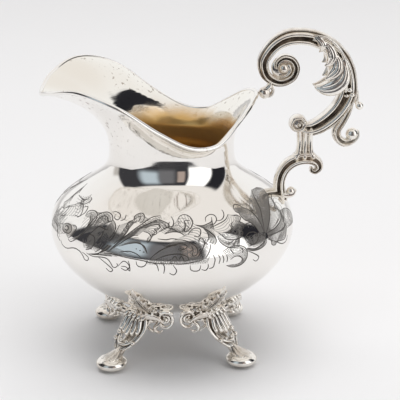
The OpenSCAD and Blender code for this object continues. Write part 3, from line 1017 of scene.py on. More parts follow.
def make_strut():
    bm = bmesh.new()
    for lobe in (-2.3, 0.0, 2.3):
        rows = [
            (STRUT_X + lobe * 1.15, -16.6, 1.4, 2.8), (STRUT_X + lobe * 1.02, -19.5, 1.3, 2.2),
            (STRUT_X + lobe * 1.0, -23.0, 1.25, 2.1), (STRUT_X + lobe * 1.15, -26.4, 1.35, 2.4),
            (STRUT_X + lobe * 1.6, -28.6, 1.5, 2.9)]
        sweep(bm, on_handle(rows), round_section(12), ACROSS_HANDLE)
    tie = [(15.6, -27.6, 0.5, 2.4), (18.0, -27.0, 0.7, 2.7), (22.4, -27.0, 0.7, 2.7),
           (24.8, -27.8, 0.5, 2.4)]
    sweep(bm, on_handle(tie), round_section(12), ACROSS_HANDLE)
    return finish_piece("handle_strut", pour(bm, 0.2, 1), ["handle_strut"], "cast_silver", CAST)


LOWER_ROWS = [
    (10.2, -47.6, 3.1, 3.2), (9.5, -43.5, 2.7, 2.9), (9.5, -39.2, 2.6, 2.8),
    (10.8, -35.0, 2.6, 2.8), (13.8, -31.5, 2.7, 2.8), (18.2, -29.6, 2.7, 2.8),
    (22.6, -29.5, 2.6, 2.8), (25.7, -31.0, 2.3, 2.8), (26.6, -33.4, 1.9, 2.6),
    (25.2, -35.1, 1.5, 2.4), (23.5, -34.9, 1.1, 2.1), (23.3, -33.8, 0.8, 1.8),
]


def make_lower_scroll():
    bm = bmesh.new()
    sweep(bm, on_handle(LOWER_ROWS), FLUTED, ACROSS_HANDLE, steps=8)
    return finish_piece(
        "handle_lower_scroll", bm, ["handle_lower_scroll"], "cast_silver", CAST, recess_rounds=14)


def make_terminal():
    bm = bmesh.new()
    rows = [(10.6, -45.6, 1.6, 2.2), (13.0, -46.0, 1.5, 2.2), (15.4, -45.6, 1.0, 2.0),
            (16.5, -44.0, 0.7, 1.6)]
    sweep(bm, on_handle(rows), round_section(), ACROSS_HANDLE)
    ball(bm, (LIP_X + 14.6, 0, LIP_Z - 44.2), 2.0)
    return finish_piece(
        "handle_lower_terminal", pour(bm, 0.18), ["handle_lower_terminal"], "cast_silver", CAST)


strut = make_strut()
make_lower_scroll()
make_terminal()

# %% [markdown]
# ## Where the feet are
#
# One pattern was carved for the foot and four were cast from it. Here too the foot is drawn once, in
# the corner where x and y are positive, and laid over to the others. Two ways of naming a place help:
# along the ring under the bowl, on which the brackets hang, and along the leg.

# %% Places on a foot
TOE = 27.9
PAD_R, PAD_H, PAD_FLAT_R = 6.8, 3.2, 2.0
PAD_MID = PAD_H * math.sqrt(1 - (PAD_FLAT_R / PAD_R) ** 2)
VOLUTE_R = 3.9
WING_RING = 28.6
WING_UP = under_bowl(WING_RING) - VOLUTE_R
RING_SIDE = (-0.15, 0.95, -0.25)
CORNERS = (
    ("front_left", -1, -1), ("front_right", 1, -1), ("back_left", -1, 1), ("back_right", 1, 1))
# The leg's middle line: height, x, y
LEG_LINE = [
    (3.0, 27.2, 27.4), (4.7, 26.5, 26.9), (9.1, 23.5, 25.5), (13.7, 19.9, 24.5),
    (18.1, 17.3, 23.5), (24.4, 14.9, 21.5), (28.0, 13.4, 19.8)]


def under_ring(from_middle, out, up):
    """A place on the wing: distance from the middle plane along the ring, outward, and up."""
    turned = math.pi / 2 - from_middle / WING_RING
    radius = WING_RING + out
    return (radius * math.cos(turned), radius * math.sin(turned), WING_UP + up)


def on_leg(along, out, height):
    """A place on the leg: to its inner side, outward from its middle line, and at a height."""
    heights = [row[0] for row in LEG_LINE]
    x = np.interp(height, heights, [row[1] for row in LEG_LINE])
    y = np.interp(height, heights, [row[2] for row in LEG_LINE])
    return (x + (out - along) * 0.7071, y + (out + along) * 0.7071, height)


def to_corner(bm, x, y):
    """Lays a foot's piece over to one of the four corners."""
    bmesh.ops.scale(bm, vec=(x, y, 1), verts=bm.verts)
    return bm


print("volutes hang at", round(WING_UP, 1), "mm")

# %% [markdown]
# ## Crest leaf
#
# A ribbed leaf lies flat on the bowl above each foot and spreads the joint over more of the thin
# sheet. It is swept up the bowl's curve, with scalloped edges and a rounded point.

# %% Crest leaf
LEAF_TURN = math.radians(66.5)
LEAF_START = 23
LEAF_REACH = 25
LEAF_STEPS = 24
LEAF_SCALLOPS = 4.5
RIB_BENDS = ((0.2, 0.9, 0.5), (0.6, 1.5, 0.9), (1.0, 1.3, 0.7), (1.2, 0.6, 0.3))
LEAF_SIDE = (-math.sin(LEAF_TURN), math.cos(LEAF_TURN), 0)
LEAF_FACE = both_sides([
    (1.25, 0.0), (0.72, 0.13), (0.45, 0.2), (0.85, 0.36), (0.9, 0.44), (0.4, 0.58), (0.75, 0.74),
    (0.7, 0.84), (0.2, 1.0), (-0.6, 0.95), (-0.6, 0.0)])


def crest_leaf():
    bm = bmesh.new()
    rows = []
    for step in range(LEAF_STEPS + 1):
        f = step / LEAF_STEPS
        r = LEAF_START + LEAF_REACH * f
        scallop = 1 + 0.13 * math.cos(math.radians(360 * LEAF_SCALLOPS * f))
        rows.append((
            r * math.cos(LEAF_TURN), r * math.sin(LEAF_TURN), under_bowl(r) - 0.3,
            0.6 + 1.0 * math.sin(math.radians(160 * f + 20)),
            (0.4 + 2.7 * math.sin(math.radians(168 * f + 10))) * scallop))
    sweep(bm, rows, LEAF_FACE, LEAF_SIDE, steps=2)
    for flip in (1, -1):
        for f, reach in ((0.28, 3.0), (0.46, 3.1), (0.64, 2.6), (0.8, 1.8)):
            r = LEAF_START + LEAF_REACH * f
            places = []
            for share, out, wide in RIB_BENDS:
                rr = r + share * 2.2
                off = flip * share * reach
                places.append((
                    rr * math.cos(LEAF_TURN) - off * math.sin(LEAF_TURN),
                    rr * math.sin(LEAF_TURN) + off * math.cos(LEAF_TURN),
                    under_bowl(rr) - out * 0.8, 0.5, wide))
            sweep(bm, places, round_section(10), LEAF_SIDE, steps=4)
    return pour(bm, 0.22, 1)


crest_leaves = [
    finish_piece(
        f"{corner}_leaf", to_corner(crest_leaf(), x, y), [f"{corner}_leaf"], "cast_silver", FOOT)
    for corner, x, y in CORNERS
]

# %% [markdown]
# ## Bracket
#
# From the top of each leg a wing of scrollwork runs to either side under the bowl, and ends in a
# volute that faces outwards. A bright leaf with a curled tip lies along its top, beads and small
# scrolls fill the middle, and a hooked leaf hangs below. Two wings, one the mirror of the other, make
# a bracket.

# %% Bracket
BRIGHT_LEAF = both_sides([
    (1.0, 0.0), (0.92, 0.3), (0.6, 0.6), (0.35, 0.7), (0.5, 0.84), (0.3, 1.0),
    (-0.5, 0.8), (-0.7, 0.0)])


def wing_rows(rows):
    return [(*under_ring(s, out, up), wide, deep) for s, out, up, wide, deep in rows]


def spiral_rows(middle, up, out, radius, first, last, thick, stretch=1.25, close=0.55):
    """A scroll in the face of the wing, winding inwards from its first angle to its last."""
    rows = []
    steps = max(4, int(abs(last - first) / 30))
    for k in range(steps + 1):
        f = k / steps
        angle = math.radians(first + (last - first) * f)
        r = radius * (1 - close * f)
        rows.append((
            middle + r * math.cos(angle), out, up + stretch * r * math.sin(angle),
            thick * (1 - 0.45 * f), thick * (1 - 0.3 * f)))
    return wing_rows(rows)


def wing(bm):
    round_bar = round_section(12)
    sweep(bm, wing_rows([
        (20.0, -0.6, 0.6, 0.5, 2.6), (15.0, -0.4, 0.2, 0.5, 2.8), (10.0, -0.3, 0.4, 0.5, 2.6),
        (6.0, -0.2, 0.3, 0.5, 2.8), (3.0, -0.2, 0.3, 0.4, 2.0)]), round_bar, (0, 0, 1))
    sweep(bm, wing_rows([
        (22.0, -0.4, 0.9, 1.3, 1.5), (17.0, 0.0, 1.3, 1.3, 1.7), (12.0, 0.0, 1.0, 1.1, 1.8),
        (8.0, -0.2, 1.2, 0.9, 1.6), (5.0, -0.3, 1.8, 0.7, 1.0)]), round_bar, (0, 0, 1))
    sweep(bm, wing_rows([
        (16.5, 1.2, 1.2, 0.5, 0.7), (14.0, 1.9, 1.4, 0.8, 1.3), (11.0, 2.1, 1.6, 0.9, 1.5),
        (8.2, 2.1, 1.1, 0.7, 1.1), (6.4, 2.0, 0.1, 0.5, 0.6), (5.2, 1.9, -1.0, 0.5, 0.5),
        (4.6, 1.9, -0.2, 0.4, 0.4)]),
        BRIGHT_LEAF, (0, 0, 1), steps=5)
    beads = ((2.2, 2.9, 0.8), (4.4, 3.6, 0.9), (6.7, 3.4, 0.8), (8.8, 3.5, 0.8), (18.6, 2.0, 0.9))
    for s, up, size in beads:
        ball(bm, under_ring(s, 0.9, up), size)
    for s in (10.8, 13.2, 15.6, 17.8):
        sweep(bm, wing_rows([
            (s, 0.4, 4.2, 0.5, 0.6), (s - 0.7, 1.6, 3.9, 0.6, 0.7), (s - 1.0, 2.2, 2.9, 0.5, 0.6),
            (s - 0.4, 1.9, 2.2, 0.4, 0.4)]), round_bar, RING_SIDE, steps=4)
    sweep(bm, spiral_rows(4.5, 0.0, 0.7, 3.1, 110, -260, 0.95, 1.2, 0.12), round_bar, RING_SIDE, 4)
    sweep(bm, spiral_rows(4.6, 0.2, 0.5, 1.7, 60, 420, 0.6, 1.1, 0.5), round_bar, RING_SIDE, 4)
    ball(bm, under_ring(4.5, 0.7, 0.1), 0.8)
    sweep(bm, spiral_rows(12.8, -0.9, 1.3, 2.7, 150, -190, 0.75, 1.0, 0.45), round_bar, RING_SIDE, 4)
    sweep(bm, spiral_rows(9.2, 0.1, 1.4, 1.5, -40, 280, 0.6, 1.1, 0.5), round_bar, RING_SIDE, 4)
    for s, up, size in ((7.2, 1.2, 0.75), (10.6, 0.9, 0.6), (15.6, 0.4, 0.8), (17.4, -0.8, 0.7)):
        ball(bm, under_ring(s, 1.4, up), size)
    sweep(bm, wing_rows([
        (6.8, 0.9, -1.4, 0.6, 0.7), (8.6, 1.4, -2.8, 0.8, 1.0), (8.9, 1.5, -4.6, 0.7, 0.9),
        (7.2, 1.4, -5.6, 0.6, 0.6), (6.0, 1.2, -4.8, 0.4, 0.4)]), RIBBED, RING_SIDE, steps=5)
    sweep(bm, wing_rows([
        (14.4, 0.9, -2.2, 0.6, 0.7), (12.4, 1.4, -3.6, 0.8, 0.9), (10.6, 1.4, -4.8, 0.6, 0.7),
        (9.6, 1.2, -5.8, 0.3, 0.4)]), RIBBED, RING_SIDE, steps=5)


def bracket():
    bm = bmesh.new()
    wing(bm)
    other = bmesh.new()
    wing(other)
    for vert in other.verts:
        vert.co = (vert.co.y, vert.co.x, vert.co.z)
    bmesh.ops.reverse_faces(other, faces=other.faces)
    spare = bpy.data.meshes.new("spare")
    other.to_mesh(spare)
    other.free()
    bm.from_mesh(spare)
    bpy.data.meshes.remove(spare)
    return pour(bm, 0.22, 1)


brackets = [
    finish_piece(
        f"{corner}_bracket", to_corner(bracket(), x, y), [f"{corner}_bracket"], "cast_silver",
        FOOT)
    for corner, x, y in CORNERS
]

# %% [markdown]
# ## Leg
#
# The leg is a hood of five flutes that hang over a hollow, with a scroll running down each side to
# the ankle, where pointed leaves spread over the pad. The hollow is what makes it read: it is dark
# from its own shade and from painted shade and oxide in its finish, and the flutes stand bright in
# front of it.

# %% Leg
LEG_SIDE = (-0.7071, 0.7071, 0)


def leg_rows(rows):
    return [(*on_leg(along, out, up), wide, deep) for along, out, up, wide, deep in rows]


def foot_leg():
    bm = bmesh.new()
    round_bar = round_section(12)
    sweep(bm, leg_rows([
        (0, -0.4, 4.2, 2.2, 2.4), (0, -0.6, 8.4, 1.8, 2.2), (0, -2.2, 12.4, 1.2, 3.2),
        (0, -2.6, 17.0, 1.2, 4.4), (0, -1.0, 22.6, 2.0, 4.4), (0, 0, 26.6, 2.0, 3.6)]),
        round_bar, LEG_SIDE, steps=5)
    for k in (-2, -1, 0, 1, 2):
        short = 0.5 * abs(k)
        sweep(bm, leg_rows([
            (k * 1.4, 0.8, 23.0, 0.7, 0.8), (k * 1.9, 2.9, 21.4, 0.9, 0.95),
            (k * 2.2, 3.9 - short, 18.6, 0.9, 0.95), (k * 2.3, 4.0 - short, 16.0 + short, 0.8, 0.9),
            (k * 2.1, 3.0 - short, 14.8 + short, 0.6, 0.7)]), round_bar, LEG_SIDE, steps=5)
        sweep(bm, leg_rows([
            (k * 2.3 + 0.6, 0.6, 25.4, 0.6, 0.8), (k * 2.4 + 0.6, 2.6, 24.4, 0.7, 0.9),
            (k * 2.5, 3.4, 22.8, 0.6, 0.8), (k * 2.5 - 0.6, 3.0, 21.9, 0.4, 0.5)]),
            round_bar, LEG_SIDE, steps=4)
    sweep(bm, leg_rows([
        (-4.6, 0.6, 14.4, 0.5, 0.7), (-3.0, 1.6, 11.9, 0.6, 0.8), (0.0, 2.2, 11.0, 0.7, 0.9),
        (3.0, 1.7, 11.8, 0.6, 0.8), (4.6, 0.8, 14.2, 0.5, 0.7)]), round_bar, (0.7071, 0.7071, 0),
        steps=5)
    for flip in (1, -1):
        for gap in (0.0, 1.5):
            sweep(bm, leg_rows([
                (flip * (3.6 - gap * 0.4), 1.4, 24.8, 0.6, 0.6),
                (flip * (5.6 - gap), 1.6, 21.6, 0.75, 0.75),
                (flip * (6.3 - gap), 1.2, 17.6, 0.75, 0.75),
                (flip * (5.4 - gap), 1.0, 13.2, 0.75, 0.75),
                (flip * (3.6 - gap), 1.0, 10.0, 0.65, 0.65),
                (flip * (2.2 - gap), 1.3, 8.6, 0.5, 0.5)]), round_bar, LEG_SIDE, steps=5)
        ball(bm, on_leg(flip * 5.0, 1.9, 12.3), 1.0)
        ball(bm, on_leg(flip * 5.2, 2.4, 23.6), 1.1)
        ball(bm, on_leg(flip * 1.6, 2.2, 12.4), 0.8)
    ball(bm, on_leg(-4.4, 3.0, 15.4), 1.2, (1, 1, 0.8))
    for turned, reach in ((45, 5.6), (5, 5.0), (85, 5.0), (-38, 4.4), (128, 4.4), (225, 2.6)):
        dx, dy = math.cos(math.radians(turned)), math.sin(math.radians(turned))
        rows = []
        for f, height, wide in (
                (0.0, 9.4, 0.6), (0.22, 8.0, 1.3), (0.5, 6.6, 1.8), (0.8, 5.7, 1.4), (1.0, 4.7, 0.3)):
            ax, ay, _ = on_leg(0, 0.6 * (1 - f), height)
            ax, ay = ax + (TOE - ax) * f, ay + (TOE - ay) * f
            rows.append((ax + dx * reach * f, ay + dy * reach * f, height, 0.55, wide))
        sweep(bm, rows, BRIGHT_LEAF, (-dy, dx, 0), steps=4)
    return pour(bm, 0.22, 1)


legs = [
    finish_piece(
        f"{corner}_leg", to_corner(foot_leg(), x, y), [f"{corner}_leg"], "cast_silver", FOOT)
    for corner, x, y in CORNERS
]

# %% [markdown]
# ## Toe pads
#
# Each foot stands on a bun, cast with the leg and polished smooth. It is a turned shape: half an
# ellipse with a flat underneath and a fine groove round its top, where the leaves end.

# %% Toe pads
PAD_ROUNDS = 96


def toe_pad():
    first = -math.acos(PAD_FLAT_R / PAD_R)
    rings = []
    for step in range(41):
        turned = first + (math.radians(88) - first) * step / 40
        groove = 0.16 * math.exp(-((math.degrees(turned) - 52) / 5) ** 2)
        radius, height = PAD_R * math.cos(turned), PAD_MID + (PAD_H - groove) * math.sin(turned)
        rings.append([
            (TOE + radius * math.cos(angle), TOE + radius * math.sin(angle), max(0.0, height))
            for angle in (2 * math.pi * k / PAD_ROUNDS for k in range(PAD_ROUNDS))
        ])
    bm = bmesh.new()
    skin(bm, rings)
    return bm


pads = [
    finish_piece(
        f"{corner}_pad", to_corner(toe_pad(), x, y), [f"{corner}_pad"], "pad_silver", PAD,
        recess_rounds=4)
    for corner, x, y in CORNERS
]

# %% [markdown]
# ## The engraved band
#
# The flowers and leaves round the bowl are cut by hand with a graver, which ploughs out a bright
# V-shaped groove that then fills with dirt. A texture would blur at close range, and cutting grooves
# into the sheet would need a very fine mesh. So each cut is a thin dark thread that is let into the
# skin, tapered at both ends like the real stroke. Bold lines and fine shading are two separate
# pieces, and the back of the jug carries the same drawing.

# %% The engraver's lines
# Each line is a row of (turn round the axis in degrees, distance up the skin from the belly in mm)
LINES = {
    "rose_1": [(-175.5, 27.2), (-173.3, 24.9), (-169.6, 22.2)],
    "rose_2": [(-156.2, 25.5), (-154.5, 23), (-158.5, 21.7), (-166.9, 21.7)],
    "rose_3": [(-174.1, 25.8), (-173.1, 21.8), (-171.3, 17.2), (-172.5, 14.5)],
    "rose_4": [(-156.2, 7.9), (-154.1, 9.3), (-150.2, 9.6), (-147.9, 8), (-148.9, 6.2),
        (-152.6, 5.6), (-155.6, 6.2), (-156.2, 7.9)],
    "rose_5": [(-153.9, 7.5), (-152.8, 8.5), (-150.6, 8), (-151.3, 6.9), (-153.4, 6.9)],
    "rose_6": [(-147.3, 10.4), (-144.9, 9.5), (-146.1, 6.3), (-148.8, 4.1)],
    "rose_7": [(-170.5, 12.7), (-165.4, 13.6), (-163.2, 15.8), (-161.8, 13.4), (-162.7, 10.4),
        (-160.1, 11.6)],
    "rose_8": [(-159.8, 17.6), (-158, 19.2), (-153.3, 19.7), (-149.1, 16.9), (-148.4, 14.4),
        (-152.3, 14.1)],
    "rose_9": [(-165.8, 6.6), (-160.7, 5.1), (-160.4, 2.3), (-157.1, 0.6)],
    "ribbon_1": [(-143, 15.8), (-140, 15.7), (-138.8, 12.6), (-139.4, 9), (-142, 5.8),
        (-145.9, 3.4), (-147.9, 3.3), (-148.7, 3.8)],
    "ribbon_2": [(-144.5, 15.9), (-145.2, 18.1), (-143.2, 19.3), (-139.8, 19.4), (-137.1, 17.8),
        (-136.1, 14.9), (-137.2, 12.2), (-138.4, 9.2), (-140.3, 7.3)],
    "leaf_1": [(-141, 7.5), (-138.6, 11), (-137.8, 15.4), (-136.4, 18.8), (-133.2, 20.7),
        (-129.2, 20.3), (-126.7, 18.5), (-126.5, 16.8), (-128.7, 16.8), (-130.7, 18.6),
        (-133.1, 18.6), (-135, 16.9), (-134.8, 14.7)],
    "leaf_2": [(-129.4, 21.2), (-127.7, 21.9), (-124.5, 21.5), (-122.9, 20), (-123.3, 18.2),
        (-125.7, 18.7), (-126.4, 20.3)],
    "leaf_3": [(-121.6, 18), (-119.7, 19.2), (-120, 21.3)],
    "leaf_4": [(-126.9, 14.3), (-126.4, 12.7), (-129.1, 13.1), (-131.5, 13.4), (-132.8, 12.3),
        (-134.9, 8.9)],
    "leaf_5": [(-136.2, 7.2), (-134.9, 8.9), (-132.2, 8.7), (-130.9, 6.8), (-132.2, 3.8),
        (-135.7, 2.3)],
    "leaf_6": [(-128.6, 7.2), (-127.9, 11), (-128.2, 13.2)],
    "leaf_7": [(-126.1, 17.8), (-123.2, 15.7), (-122.1, 12.7), (-123.5, 9.5)],
    "leaf_8": [(-123, 8.2), (-121.6, 10.5), (-121.2, 13.6), (-121, 16)],
    "leaf_9": [(-120.6, 7.5), (-117.9, 9.9), (-115.8, 12.8), (-115.4, 15.2), (-116.7, 17),
        (-115.9, 18.4)],
    "fan_1": [(-133.7, 1), (-129.3, 1.6), (-125.7, 4.3), (-123.5, 6.7)],
    "fan_2": [(-130.2, 2.4), (-126.7, 4.8), (-124.5, 7.3)],
    "fan_3": [(-127.4, 2.6), (-123.9, 4.6), (-121.7, 6.7)],
    "sprig_1": [(-123, 3.7), (-119.4, 7.7), (-115.5, 11.7), (-111.6, 15.6), (-108.1, 18.7),
        (-104.6, 21.5), (-100, 22.5)],
    "sprig_2": [(-119.9, 6.2), (-115.7, 9.5), (-111.8, 12.1), (-109.8, 12.3)],
    "sprig_3": [(-111.3, 14.8), (-108.4, 16.6), (-104.5, 18.9), (-101.1, 20.3), (-97.8, 19.6),
        (-95.1, 18.4), (-94.7, 17.2), (-95.9, 16.8), (-97.3, 18)],
    "sprig_4": [(-116, 14.3), (-117, 16.6), (-116.4, 18.3), (-114.4, 19.4), (-114.7, 21.1),
        (-113.3, 22.5), (-111, 23.2), (-109.1, 22), (-108.9, 19.9), (-110.2, 18.1)],
    "sprig_5": [(-112.8, 21.3), (-111.4, 21.4), (-111.2, 19.7), (-111.8, 18.8)],
    "sprig_6": [(-107.3, 15.9), (-104.1, 17.3), (-100.7, 17.9), (-99.4, 17.1), (-100.1, 15.9),
        (-102.2, 15.8), (-100.7, 14.3), (-101.4, 13.2), (-103.4, 13.4)],
    "sprig_7": [(-107.4, 14.3), (-104.7, 13.7), (-103.2, 12), (-103.8, 10.2), (-104.9, 9.8),
        (-104.8, 11.5)],
    "sprig_8": [(-100, 11.4), (-96.1, 11.1), (-93.8, 11.5), (-91.1, 11.4)],
    "sprig_9": [(-97.9, 9), (-96, 8.4), (-94.2, 8.7), (-91.2, 8.7)],
    "sprig_10": [(-113.3, 8.4), (-109.9, 9.1), (-107, 8.6), (-105.4, 7.4), (-104.4, 5.1)],
    "band_1": [(-117.2, 4.6), (-112.9, 5.4), (-109.3, 4.7), (-107, 3.2)],
    "band_2": [(-125.6, 2.9), (-120.4, 3.4), (-114.7, 2.8), (-107, 2.2), (-101.8, 1.4),
        (-93.1, 1.2)],
    "band_3": [(-109.3, 1.6), (-108.9, -0.1), (-107.1, -0.7), (-105.2, 0.2), (-104.4, 2)],
    "band_4": [(-104.8, 1.6), (-101.8, 1.4), (-100, 0.4), (-99.3, -2.1)],
    "band_5": [(-98.2, 1.9), (-96.7, -0.2), (-97.1, -3.2)],
    "tendril_1": [(-156.1, 1.3), (-154.3, -0.4), (-150.2, -0.7), (-143.8, 1.1), (-139.6, 0.7),
        (-137.5, -1), (-136.6, -2.3), (-135, -2.3), (-134, -0.9), (-135.8, 0.1), (-137.9, 0.7)],
    "tendril_2": [(-135.2, 1), (-131.2, 0.4), (-126.5, 1), (-123.4, 0.8), (-121.7, -0.7),
        (-120.6, -2.4), (-118.9, -2.1), (-118, -0.8), (-118.8, -0.6)],
    "tendril_3": [(-118, -1.6), (-115.5, 0.9), (-113.5, 0.5), (-112.4, -1.2), (-112.6, -3.2),
        (-114, -1.4), (-116.4, -1.4)],
    "curl_1": [(-90, 18.4), (-89.8, 21.2), (-87.2, 22.9), (-84, 22.3), (-82.2, 19.7),
        (-83.2, 16.8), (-86.1, 14.6), (-87.3, 15.4), (-86.2, 17.4), (-86.8, 19.5), (-85.3, 20),
        (-83.6, 19.7)],
    "curl_2": [(-85.5, 13.1), (-84, 14.9), (-81.7, 15.9), (-79.3, 15.4), (-79.3, 13.4),
        (-80.9, 11.9), (-82.8, 12.2)],
    "curl_3": [(-81.4, 17.5), (-78, 16.8), (-75.2, 17.2), (-72, 18.3), (-71, 20.3)],
    "curl_3b": [(-75.1, 18.6), (-74.3, 20.7), (-71.2, 21.8), (-68.7, 20.9), (-68.8, 18.7),
        (-71.2, 16.9), (-73.5, 16.8)],
    "curl_4": [(-69, 18.3), (-66.1, 18.3), (-63.4, 20.1), (-62.5, 22.2), (-62.8, 23.1)],
    "curl_5": [(-77.5, 15.6), (-75, 13.8), (-73.1, 11.7), (-72.5, 9.4), (-73.7, 7.9)],
    "curl_6": [(-76.1, 13.1), (-75.8, 11.2), (-76.9, 9.6)],
    "curl_7": [(-74.1, 15.2), (-70, 16.3), (-65.6, 17.4), (-62.8, 18.6), (-60.4, 20.4)],
    "curl_8": [(-68, 12.5), (-64.7, 12), (-62.9, 13.6), (-62.9, 15.3)],
    "curl_9": [(-68.9, 11.5), (-68.2, 9.9), (-65.1, 8.8), (-61.6, 8.5), (-59.4, 9.2),
        (-57.7, 10.7), (-58.4, 12), (-55.7, 13), (-55.1, 14.6), (-56.4, 15.7), (-54.3, 17.4),
        (-55.8, 19.1), (-57.6, 19)],
    "curl_10": [(-60.1, 16.4), (-62, 15.1), (-62, 13.5), (-65.4, 12.5)],
    "curl_11": [(-71.6, 11.1), (-71, 8.9), (-69, 6.9), (-65.9, 5.5), (-61.6, 5.4)],
    "curl_12": [(-55.2, 12.9), (-52.7, 14), (-50.3, 13.5), (-50.5, 11.9)],
    "petal_1": [(-48.4, 21.2), (-48.6, 22.2), (-49.8, 23.5), (-52.6, 24.1), (-54.8, 22.6)],
    "petal_2": [(-54.8, 22.6), (-54.8, 20.7), (-53.5, 19.5), (-53.6, 18.2), (-52.9, 15.8),
        (-51.1, 14.5), (-49.5, 12.5), (-48.8, 10.3), (-48.4, 8.4)],
    "petal_3": [(-48, 21.6), (-45.6, 19.5), (-44.7, 16.9), (-44.6, 14.2), (-44.9, 11.3),
        (-45.5, 8.4)],
    "petal_4": [(-19.5, 26.3), (-14.7, 23.9), (-16.2, 22), (-19.3, 20.2), (-25.8, 18),
        (-30.1, 15.9), (-35.6, 12.9), (-40.1, 10.1), (-44.1, 7.7)],
    "petal_5": [(-27.5, 27), (-31.4, 24.3), (-34.7, 21), (-37.8, 17.4), (-41.5, 13.8),
        (-44, 10.3), (-45.2, 8)],
    "petal_6": [(-27.5, 15.5), (-24.8, 13.6), (-24.4, 11.6), (-29, 9.2), (-35.3, 7.9),
        (-40.2, 7.4), (-43.7, 7.2)],
    "petal_7": [(-21.7, 12), (-22.4, 10), (-26.7, 7.7), (-26.3, 6.1), (-31.2, 5.3), (-37, 5.5),
        (-43.6, 6.1)],
    "petal_8": [(-27, 1.8), (-29.2, 0.6), (-33.9, 1.3), (-37, 1.8), (-38.5, 0.8), (-41.3, 1.6),
        (-41.9, 3.5), (-44, 5.2)],
    "petal_9": [(-57.9, 8.2), (-54.7, 9.8), (-51.2, 9.4), (-50, 7.6), (-51.3, 5.5), (-54.1, 4.7),
        (-56.7, 6.3), (-57.9, 8.2)],
    "petal_10": [(-49.9, 6.6), (-47.8, 7.5), (-45.5, 6.2), (-46.6, 4.4), (-49.6, 3.3),
        (-53.4, 2.8), (-57.6, 4)],
    "petal_11": [(-45.1, 5.4), (-45.6, 3.4), (-49.1, 2.1), (-53.9, 2.1), (-57.7, 3.3)],
    "shell_1": [(-70.2, 4.7), (-66.7, 5.9), (-62.4, 5.9), (-59, 4.6), (-57.7, 2.3),
        (-58.2, -0.5), (-60.8, -2.6), (-65.2, -2.9), (-68.6, -1.6)],
    "shell_2": [(-66.6, 0.7), (-64.5, 1.7), (-61.9, 1.3), (-60.1, -0.5), (-60.4, -1.9)],
    "shell_3": [(-66.8, 5.3), (-64.9, 2.9)],
    "shell_4": [(-61.6, 5.1), (-60, 3.8), (-60.5, 2.5)],
    "shell_5": [(-75, 3.9), (-74.1, 1.7), (-74.7, -0.3)],
    "shell_6": [(-72.6, 3.7), (-71.7, 1.8), (-72.3, -0.3)],
    "shell_7": [(-70.7, 3.4), (-69.9, 1.5), (-70.3, -0.2)],
    "shell_8": [(-68.6, 3.1), (-68.1, 1.3), (-68.5, -0.1)],
    "loop_1": [(-85.4, 0.3), (-85.2, -1.6), (-83.7, -2.4), (-81.4, -2.2), (-80.7, -0.1)],
    "loop_2": [(-80.3, -1.9), (-78.4, -2.5), (-77.3, -1.1), (-77.4, 0.3)],
    "loop_3": [(-76.9, -1.9), (-75, -1.4), (-74.3, 0.7)],
    "loop_4": [(-90.6, 7.3), (-89.5, 6.6), (-87.9, 7.6)],
    "loop_5": [(-85.4, 6.1), (-83.9, 6.7), (-84.5, 8.1)],
    "loop_6": [(-94.3, 1.6), (-90.7, 1), (-85.6, 1.3), (-79.6, 2.3)],
    "loop_7": [(-93.5, 3), (-92.1, 4.3), (-91, 2.9)],
    "loop_8": [(-90.3, 2.9), (-89.2, 4.3), (-88.1, 2.5)],
    "middle_1": [(-103, 3.2), (-99, 6.4), (-93.5, 8.6), (-89, 9.4), (-86.5, 8.2), (-88, 7),
        (-90, 7.6)],
    "middle_2": [(-101, 2.6), (-96, 4.6), (-91, 5.2), (-87, 4.2), (-86, 2.6), (-88, 2.2)],
    "middle_3": [(-92, 11.2), (-88, 10.8), (-84.5, 9.4), (-82, 7), (-82.4, 4.6), (-84.4, 4.2),
        (-84, 6)],
    "middle_4": [(-93.8, 22.2), (-92.4, 19.6), (-93.2, 17.2), (-95.4, 17.4), (-94.6, 19.4)],
    "middle_5": [(-97, 13.6), (-93, 14.6), (-89.5, 14.2), (-87.2, 12.6)],
    "middle_6": [(-99.4, 14.8), (-96.4, 16.6), (-93, 16), (-90.6, 14.8)],
    "middle_7": [(-82, 3.6), (-79.6, 6.6), (-78.4, 9.6), (-79.6, 11.4), (-81.2, 10)],
    "middle_8": [(-78.6, 2.6), (-76.6, 5.4), (-75.6, 8.2)],
    "lower_1": [(-128, 0.6), (-124, -1.4), (-121, -3.6), (-122.6, -5), (-124.4, -3.6)],
    "lower_2": [(-113, 1.4), (-112.4, -1), (-114.4, -3), (-116.6, -2.2)],
    "lower_3": [(-93, 0.6), (-91.4, -1.8), (-92.6, -3.8), (-94.6, -3)],
    "lower_4": [(-58, 3), (-54, 1), (-50.6, -1.4), (-52, -3), (-54.2, -1.8)],
    "right_1": [(-44, 4.6), (-38, 2), (-32, -0.6), (-27, -1), (-25, 1)],
    "right_2": [(-22, 12), (-16, 11), (-11, 8), (-10, 4), (-13, 3), (-14, 6)],
    "right_3": [(-26, 14), (-19, 18), (-13, 19), (-9, 16), (-11, 14)],
    "left_1": [(-160, 22), (-156, 19.6), (-152.6, 20.6), (-151, 23.4), (-153.6, 24.4)],
    "left_2": [(-149, 13.6), (-146.6, 17), (-148.4, 20), (-151, 19)],
}


def fit(line, count):
    """The smoothed line as this many evenly spaced places."""
    places = np.array(smooth(line, 8)) if len(line) > 2 else np.array(line, dtype=float)
    steps = np.hypot(np.diff(places[:, 0]) * 0.92, np.diff(places[:, 1]))
    reach = np.concatenate([[0.0], np.cumsum(steps)])
    at = np.linspace(0, reach[-1], count)
    return np.stack([np.interp(at, reach, places[:, k]) for k in (0, 1)], 1)


def beside(first, second, count, share=(0.0, 1.0)):
    """Lines that follow first and second, evenly spaced between them."""
    a, b = fit(first, 24), fit(second, 24)
    keep = slice(int(24 * share[0]), max(int(24 * share[1]), 3))
    return [(a + (b - a) * (k + 1) / (count + 1))[keep] for k in range(count)]


